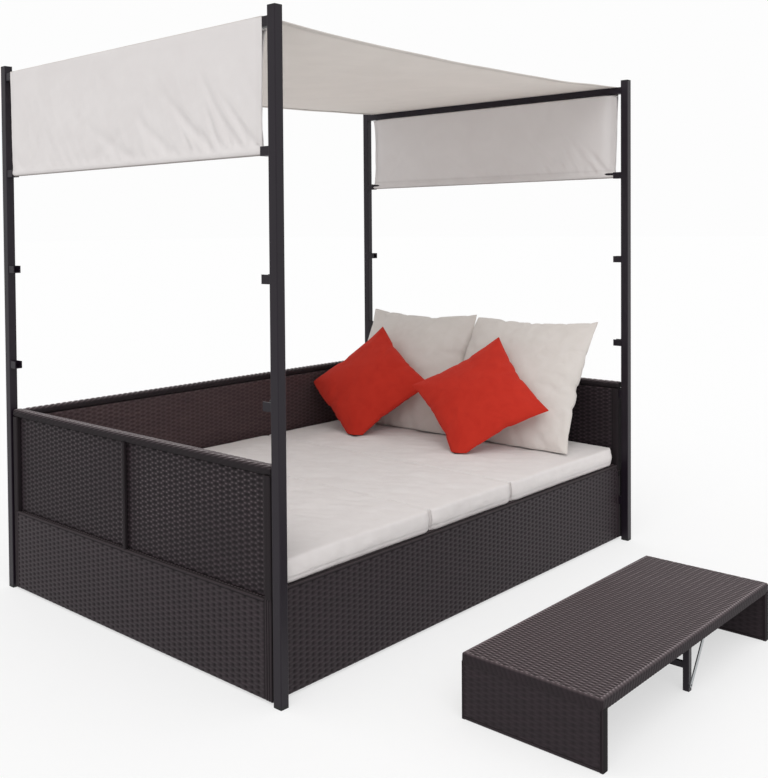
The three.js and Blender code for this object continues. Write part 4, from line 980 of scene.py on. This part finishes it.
def hemmed_width(half, cells):
    """Places across a strip whose edges are folded under: the place and how far it lies under the cloth."""
    turn = np.linspace(0, np.pi, HEM_TURN)
    edge = half - HEM_STEP / 2 + HEM_STEP / 2 * np.sin(turn)
    under = HEM_STEP / 2 * (1 + np.cos(turn))
    fold = np.linspace(half - HEM_WIDTH, edge[0], HEM_CELLS + 1)[:-1]
    flat = np.linspace(-edge[-1], edge[-1], cells)
    below = np.full(HEM_CELLS, HEM_STEP)
    place = np.concatenate([-fold, -edge, flat[1:-1], edge[::-1], fold[::-1]])
    return place, np.concatenate([below, under, np.zeros(cells - 2), under[::-1], below])


def hung_cloth(
    name,
    path,
    step,
    cells,
    folds,
    body,
    stands_for,
    inward,
    cloth,
    painted_shade_amount=0.0,
    hem_share=1.0,
    spread=TOP_SPREAD,
):
    """Carries a path in x and z along y, with its hems on the inward side and the depth of its folds, a
    function of the path's points, the way along it and y, added along the same normal."""
    line, way = resampled(path, step)
    ahead = np.gradient(line, axis=0)
    ahead /= np.linalg.norm(ahead, axis=1, keepdims=True)
    normal = np.stack([-ahead[:, 1], ahead[:, 0]], -1) * inward
    y, drop = hemmed_width(CLOTH_HALF, cells)
    push = drop[None, :] + folds(line[:, None, :], way[:, None], y[None, :])
    x, z = (line[:, None, k] + normal[:, None, k] * push for k in (0, 1))
    points = np.stack([x, y + spread * np.minimum(y, 0) / CLOTH_HALF + 0 * x, z], -1)
    faces = grid_faces(*x.shape)
    if inward < 0:
        faces = faces[:, ::-1]
    reach = np.append(0, np.cumsum(np.abs(np.diff(y))))
    uv = np.stack(np.broadcast_arrays(way[:, None], reach), -1).reshape(-1, 2)[faces]
    # Painted shade: the hems, and the places that the caller gives, are painted darker
    hem = HEM_PAINTED_SHADE * (abs(y) > CLOTH_HALF - HEM_WIDTH) * hem_share
    painted_shade = {"painted_shade": np.maximum(hem, np.broadcast_to(painted_shade_amount, x.shape)).ravel()}
    points, uv = points.reshape(-1, 3), {"cloth": uv}
    piece = make_piece(name, points, faces, uv, painted_shade, cloth, body, stands_for, sharp=75)
    thick = piece.modifiers.new("cloth thickness", "SOLIDIFY")
    thick.thickness = CLOTH_THICKNESS
    thick.offset = 0
    return piece, float(way[-1]), float(reach[-1])


def awning_cloth(name, colour, shade):
    """Solution-dyed acrylic awning cloth: matt and even, its plain weave only just there. Painted shade
    darkens its colour towards a dark grey where the piece asks: in hems and where it lies in two layers or
    over a bar, for the light that does not come through it, and under the shade bar, for its shadow."""
    made = cloth_material(
        name,
        colour,
        shade,
        AWNING_THREAD,
        AWNING_WRINKLE,
        AWNING_DEPTH,
        Roughness=0.85,
        Specular_IOR_Level=0.2,
    )
    tree = made.node_tree
    shader = tree.nodes["Principled BSDF"]
    painted_shade = node(tree, "ShaderNodeAttribute", {}, "Fac", attribute_name="painted_shade")
    painted_shade_mix = {"Factor": painted_shade, 6: shader.inputs["Base Color"].links[0].from_socket, 7: linear(CLOTH_PAINTED_SHADE)}
    feed(tree, shader, {"Base Color": node(tree, "ShaderNodeMix", painted_shade_mix, 2, data_type="RGBA")})
    return made


# The canopy's copy of the cloth is painted a little paler and warmer than the shades', for the sun that comes
# through it
canopy_acrylic = awning_cloth("off_white_acrylic_awning_cloth", CANOPY_COLOUR, CANOPY_SHADE)
shade_acrylic = awning_cloth("off_white_acrylic_shade_cloth", SHADE_COLOUR, SHADE_SHADE)
top_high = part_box("canopy_top")[1]
bar_low, bar_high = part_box("top_bar_right")
CLOTH_HALF = top_high[1]
outside, over_bar = bar_high[0] + TURN_OUT, top_high[2] - TURN_DOWN
across_x = np.linspace(-bar_low[0], bar_low[0], 120)
sagging = over_bar - CANOPY_SAG * (1 - (across_x / bar_low[0]) ** 2)
turned_down = [
    (outside, over_bar - TURN_OUT),
    (outside - TURN_DOWN, over_bar - TURN_DOWN / 2),
    (outside - TURN_IN, over_bar),
]
canopy_path = [(-x, z) for x, z in turned_down] + list(zip(across_x, sagging)) + turned_down[::-1]


def canopy_folds(line, way, y):
    """Shallow ripples that fade at the bars and a slow swell."""
    free = np.clip((bar_low[0] - abs(line[..., 0])) / BAR_FADE, 0, 1)
    flat = np.stack(np.broadcast_arrays(line[..., 0], y), -1)
    return CANOPY_RIPPLE * ripples(flat * CANOPY_STRETCH, CANOPY_SPACING, 5) * free


canopy, cloth_length, cloth_width = hung_cloth(
    "canopy_cloth_top",
    canopy_path,
    CANOPY_STEP,
    CANOPY_COLUMNS,
    canopy_folds,
    "bed",
    "canopy_top",
    -1,
    canopy_acrylic,
)


# Side shades: at each end a second strip of the same cloth lies over its top bar, hangs outside it,
# turns round the shade bar and comes back up inside. Folds fan out from its lower front corner.
shade_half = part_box("shade_right")[1][1]
round_low, round_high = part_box("shade_bar_right")
bar_x, bar_z = (round_low[0] + round_high[0]) / 2, (round_low[2] + round_high[2]) / 2
SHADE_COVER = 0.0009
REACH = (round_high[0] - round_low[0]) / 2 + SHADE_COVER
SHADE_STEP, SHADE_COLUMNS = 0.005, 210
# The bar's tunnel, how much painted shade it gets for the dark bar behind the cloth, and how much of a fold
# the inner layer has
TUNNEL, TUNNEL_SHADE, INNER_SHARE = 0.019, 0.06, 0.5
# The stitching above the tunnel: its groove's depth and width, and the painted shade along it, its strength
# and width
STITCH_DEPTH, STITCH_WIDTH, STITCH_SHADE, STITCH_SHADE_WIDTH = 0.0010, 0.0035, 0.12, 0.004
SLACK_DEPTH, SLACK_WAVE, SLACK_SPACING, SLACK_STRETCH = 0.0024, 0.0022, 0.10, (0.3, 1)
FINE_WAVE, FINE_WAVE_SPACING = 0.0012, 0.055
PUCKER_DEPTH, PUCKER_SPACING, PUCKER_SLANT, PUCKER_REACH, PUCKER_FADE = 0.008, 0.052, 0.8, 0.03, 0.4
PUCKER_SHIFT, SHIFT_RATE, LEAST_PUCKER = 1.6, 13, 0.2
SEAM_WIDTH, SEAM_GAP = 0.03, 0.0035  # the two layers close on each other towards the side seams
# The cloth's bends at its top bar's outer and inner edge, and how short of the outer edge it ends
OUTER_BEND, BEND_OUT, BEND_DOWN, BEND_IN, TAIL_SHORT = 0.001, 0.0002, 0.0022, 0.0012, 0.002
FREE_RISE = 0.02  # the cloth is held to the shade bar below this height over it
HEM_SHARES = (0.15, 0.3)  # of the hem's painted shade, on the outer and the inner layer
# Creases of the hanging cloth: where each starts, from the front edge and above the shade bar, its angle
# above the bar, its length, its width and its depth, of which CREASE_GAIN times shows
CREASE_GAIN, CREASE_BEND = 3.0, 0.12
CREASES = (
    (0.02, 0.01, 42, 0.21, 0.010, 0.0065),
    (0.05, 0.01, 60, 0.09, 0.008, 0.0060),
    (0.08, 0.01, 47, 0.27, 0.012, 0.0080),
    (0.11, 0.01, 58, 0.10, 0.008, 0.0065),
    (0.15, 0.01, 56, 0.15, 0.008, 0.0065),
    (0.19, 0.01, 48, 0.09, 0.008, 0.0060),
    (0.21, 0.03, 35, 0.24, 0.013, 0.0080),
    (0.27, 0.01, 52, 0.08, 0.008, 0.0055),
    (0.33, 0.00, 30, 0.28, 0.016, 0.0050),
    (0.50, 0.00, 20, 0.34, 0.018, 0.0045),
    (0.74, 0.01, 150, 0.25, 0.018, 0.0035),
    (1.10, 0.00, 120, 0.22, 0.012, 0.0040),
)
turn = np.linspace(0, np.pi, 15)
shade_path = (
    [(bar_low[0], bar_high[2] + SHADE_COVER), (bar_high[0], bar_high[2] + SHADE_COVER)]
    + [(bar_high[0] + SHADE_COVER, bar_high[2] - OUTER_BEND), (bar_high[0] + SHADE_COVER, bar_low[2])]
    + list(zip(bar_x + REACH * np.cos(turn), bar_z - REACH * np.sin(turn)))
    + [(bar_low[0] - BEND_OUT, bar_low[2] - BEND_DOWN), (bar_low[0] + BEND_IN, bar_low[2] - SHADE_COVER)]
    + [(bar_high[0] - TAIL_SHORT, bar_low[2] - SHADE_COVER)]
)


def shade(name, side, seed):
    """One shade: each crease is a groove of depth times exp(-(off / width)^2) about its line, that swells
    and dies away along it; small puckers stand on the shade bar, and the inner layer closes on the outer
    one at the side seams."""

    def folds(line, way, y):
        """Depth of all the folds, which at the shade bar ends where the bar is."""
        inner = way > way.ravel()[line[:, 0, 1].argmin()]
        rise = line[..., 1] - bar_z
        height = np.clip(rise / (bar_low[2] - bar_z), 0, 1)
        front = shade_half + y
        flat = np.stack(np.broadcast_arrays(way, y), -1)
        depth = SLACK_DEPTH + SLACK_WAVE * ripples(flat * SLACK_STRETCH, SLACK_SPACING, seed + 3)
        depth = depth + FINE_WAVE * ripples(flat, FINE_WAVE_SPACING, seed + 4)
        for start, above, angle, length, width, deep in CREASES:
            turn = math.radians(angle)
            along = (front - start) * math.cos(turn) + (rise - above) * math.sin(turn)
            off = (rise - above) * math.cos(turn) - (front - start) * math.sin(turn)
            off = off - CREASE_BEND * along**2 / length
            swell = np.clip(along / length, 0, 1) ** 0.5 * np.clip(1 - along / length, 0, 1)
            depth = depth + CREASE_GAIN * deep * swell * np.exp(-((off / width) ** 2))
        free = np.clip(rise / FREE_RISE, 0, 1) * (1 - height) ** 0.5
        wave = 2 * np.pi * (front - PUCKER_SLANT * rise) / PUCKER_SPACING
        wave = wave + PUCKER_SHIFT * np.sin(front * SHIFT_RATE + seed)
        pucker = PUCKER_DEPTH * (0.5 + 0.5 * np.sin(wave)) ** 2 * np.exp(-np.maximum(rise, 0) / PUCKER_REACH)
        pucker = pucker * (LEAST_PUCKER + (1 - LEAST_PUCKER) * np.exp(-front / PUCKER_FADE))
        room = REACH - np.sqrt(np.maximum(REACH**2 - np.maximum(rise, 0) ** 2, 0))
        stitch = STITCH_DEPTH * inner * np.exp(-(((rise - TUNNEL) / STITCH_WIDTH) ** 2))
        gap = 2 * REACH + (bar_high[0] - bar_low[0] - 2 * REACH) * height - SEAM_GAP
        seam = np.exp(-(((shade_half - abs(y)) / SEAM_WIDTH) ** 2)) * np.sin(np.pi * height) ** 0.35
        folded = depth * free * (1 - INNER_SHARE * inner) + pucker
        return np.minimum(folded, room) + stitch + inner * gap * seam

    path = [(side * x, z) for x, z in shade_path]
    line = resampled(path, SHADE_STEP)[0]
    inside = np.arange(len(line)) > line[:, 1].argmin()
    rise = line[:, 1] - bar_z
    # Painted shade on the inner layer: a band over the shade bar's tunnel and a line along the stitching;
    # painted shadow all under the turn round the shade bar
    painted_shade_amount = TUNNEL_SHADE * (rise < TUNNEL) + STITCH_SHADE * np.exp(-(((rise - TUNNEL) / STITCH_SHADE_WIDTH) ** 2))
    painted_shade_amount = np.maximum(inside * painted_shade_amount, rise < -0.7 * REACH)[:, None]
    hem_share = np.where(inside, HEM_SHARES[1], HEM_SHARES[0])[:, None]
    spread = TOP_SPREAD * np.clip(rise / (bar_low[2] - bar_z), 0, 1)[:, None]
    stands_for = name.replace("_cloth", "")
    piece, length, width = hung_cloth(
        name,
        path,
        SHADE_STEP,
        SHADE_COLUMNS,
        folds,
        None,
        stands_for,
        -side,
        shade_acrylic,
        painted_shade_amount,
        hem_share,
        spread,
    )
    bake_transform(piece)


shade("shade_left_cloth", -1, 2)
shade("shade_right_cloth", 1, 5)


# Table: a low tray of the same weave on two woven end panels that fold in under it on steel rods, and a
# coated middle leg with two zinc-plated stays. Its rows run across it.
TRAY_ROUND, PLATE, RIM_WIDTH, RIM_DEPTH, PANEL_END = 0.007, 0.0060, 0.014, 0.3, 0.0085
TABLE_WEAVE = (0.0202, 0.0066)
TABLE_HUMPS = (1.0, 0.99, 0.93, 0.64, 0.24, 0.04, 0.0)
# The rim is bound with slanting strands that start so far inside; the last value is the depth left where the
# rim turns down, which the material paints darker
EDGE_START, EDGE_PITCH, EDGE_SLANT, EDGE_RELIEF, EDGE_DEPTH = 0.002, 0.0135, 0.03, 0.45, 0.5
EDGE_FADE = 1.2  # the depth, and with it the painted highlight, falls to that value over so many radii of the edge, painting the rim darker as it turns down


def tray(low, high):
    """The woven tray: plain weave on a flat, and slanting strands that bind its round edge and its rim. A
    point so far beyond the flat turns by that length over the radius, then goes straight down; below, the
    tray is hollow between its rims."""
    low, high = np.array(low), np.array(high)
    size, middle = high - low, (low + high) / 2
    flat = size[:2] / 2 - TRAY_ROUND
    quarter = TRAY_ROUND * np.pi / 2
    reach = quarter + size[2] - TRAY_ROUND
    rows, warps = (round(2 * (half + reach) / pitch) for half, pitch in zip(flat, TABLE_WEAVE[::-1]))
    counts = np.linspace(0, rows, rows * ROW_CELLS + 1), np.linspace(0, warps, warps * WARP_CELLS + 1)
    row, warp = np.meshgrid(*counts, indexing="ij")
    place = np.stack([2 * row / rows - 1, 2 * warp / warps - 1], -1) * (flat + reach)
    core = np.clip(place, -flat, flat)
    beyond = place - core
    far = np.abs(beyond).max(-1)
    way = beyond / np.maximum(np.linalg.norm(beyond, axis=-1), TINY)[..., None]
    angle = np.minimum(far / TRAY_ROUND, np.pi / 2)

    # Height of the weave, and of the strands that bind the edge
    inside = (flat - abs(place)).min(-1)
    bound = inside < EDGE_START
    ends = (flat - abs(place)).argmin(-1) == 0
    edge_count = np.where(ends, place[..., 1], place[..., 0]) / EDGE_PITCH - inside / EDGE_SLANT
    woven = plain_weave(warp, row, TABLE_HUMPS)
    tall = np.where(bound, 1 - EDGE_RELIEF * (1 - strand_top(edge_count)), woven)
    drop = STRAND_RELIEF * (1 - tall)
    across = core + way * ((TRAY_ROUND - drop) * np.sin(angle))[..., None]
    fall = TRAY_ROUND * (1 - np.cos(angle)) + np.maximum(far - quarter, 0) + drop * np.cos(angle)
    top = np.append(across, (size[2] / 2 - fall)[..., None], -1).reshape(-1, 3)

    ring = rim(*row.shape)
    inner = top[ring, :2] * (size[:2] / 2 - RIM_WIDTH) / (size[:2] / 2)
    belts = [np.column_stack([inner, np.full(len(ring), z)]) for z in (-size[2] / 2, size[2] / 2 - PLATE)]
    rings = [ring, *(row.size + len(ring) * step + np.arange(len(ring)) for step in (0, 1))]
    points, faces = np.concatenate([top, *belts]) + middle, grid_faces(*row.shape)
    faces = np.concatenate([faces, *side_faces(rings)])
    # Painted shade: the rim darkens as it turns down, and its inner belts under the tray are painted dark
    rim_light_share = np.where(bound, 1 - (1 - EDGE_DEPTH) * np.clip(far / TRAY_ROUND / EDGE_FADE, 0, 1), 1)
    depth = np.concatenate([(tall * rim_light_share).ravel(), np.full(2 * len(ring), RIM_DEPTH)])
    both = np.stack([warp, row], -1), np.stack([inside / EDGE_SLANT, edge_count], -1)
    both = [some.reshape(-1, 2) for some in both]
    woven_uv, bound_uv = (np.concatenate([some, some[ring], some[ring]]) for some in both)
    is_bound = np.concatenate([bound.ravel(), np.ones(2 * len(ring), bool)])[faces].any(1)
    uv = np.where(is_bound[:, None, None], bound_uv[faces], woven_uv[faces])
    return points, faces, uv, depth, [rings[-1]]


woven_piece("table_top_woven", [tray(*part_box("table_top"))], "table", "table_top")
for side, facing in (("left", -1), ("right", 1)):
    name = f"table_end_panel_{side}"
    low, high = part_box(name)
    panel = woven_panel(low, high, facing * Y, Z, PANEL_END, 0.0, BINDING, TABLE_WEAVE, PANEL_HUMPS)
    woven_piece(f"{name}_woven", [panel], name, name)
dress(powder_coat, "table_leg")
dress(zinc_plate, "table_stay_front", "table_stay_back", "table_hinge_left", "table_hinge_right")
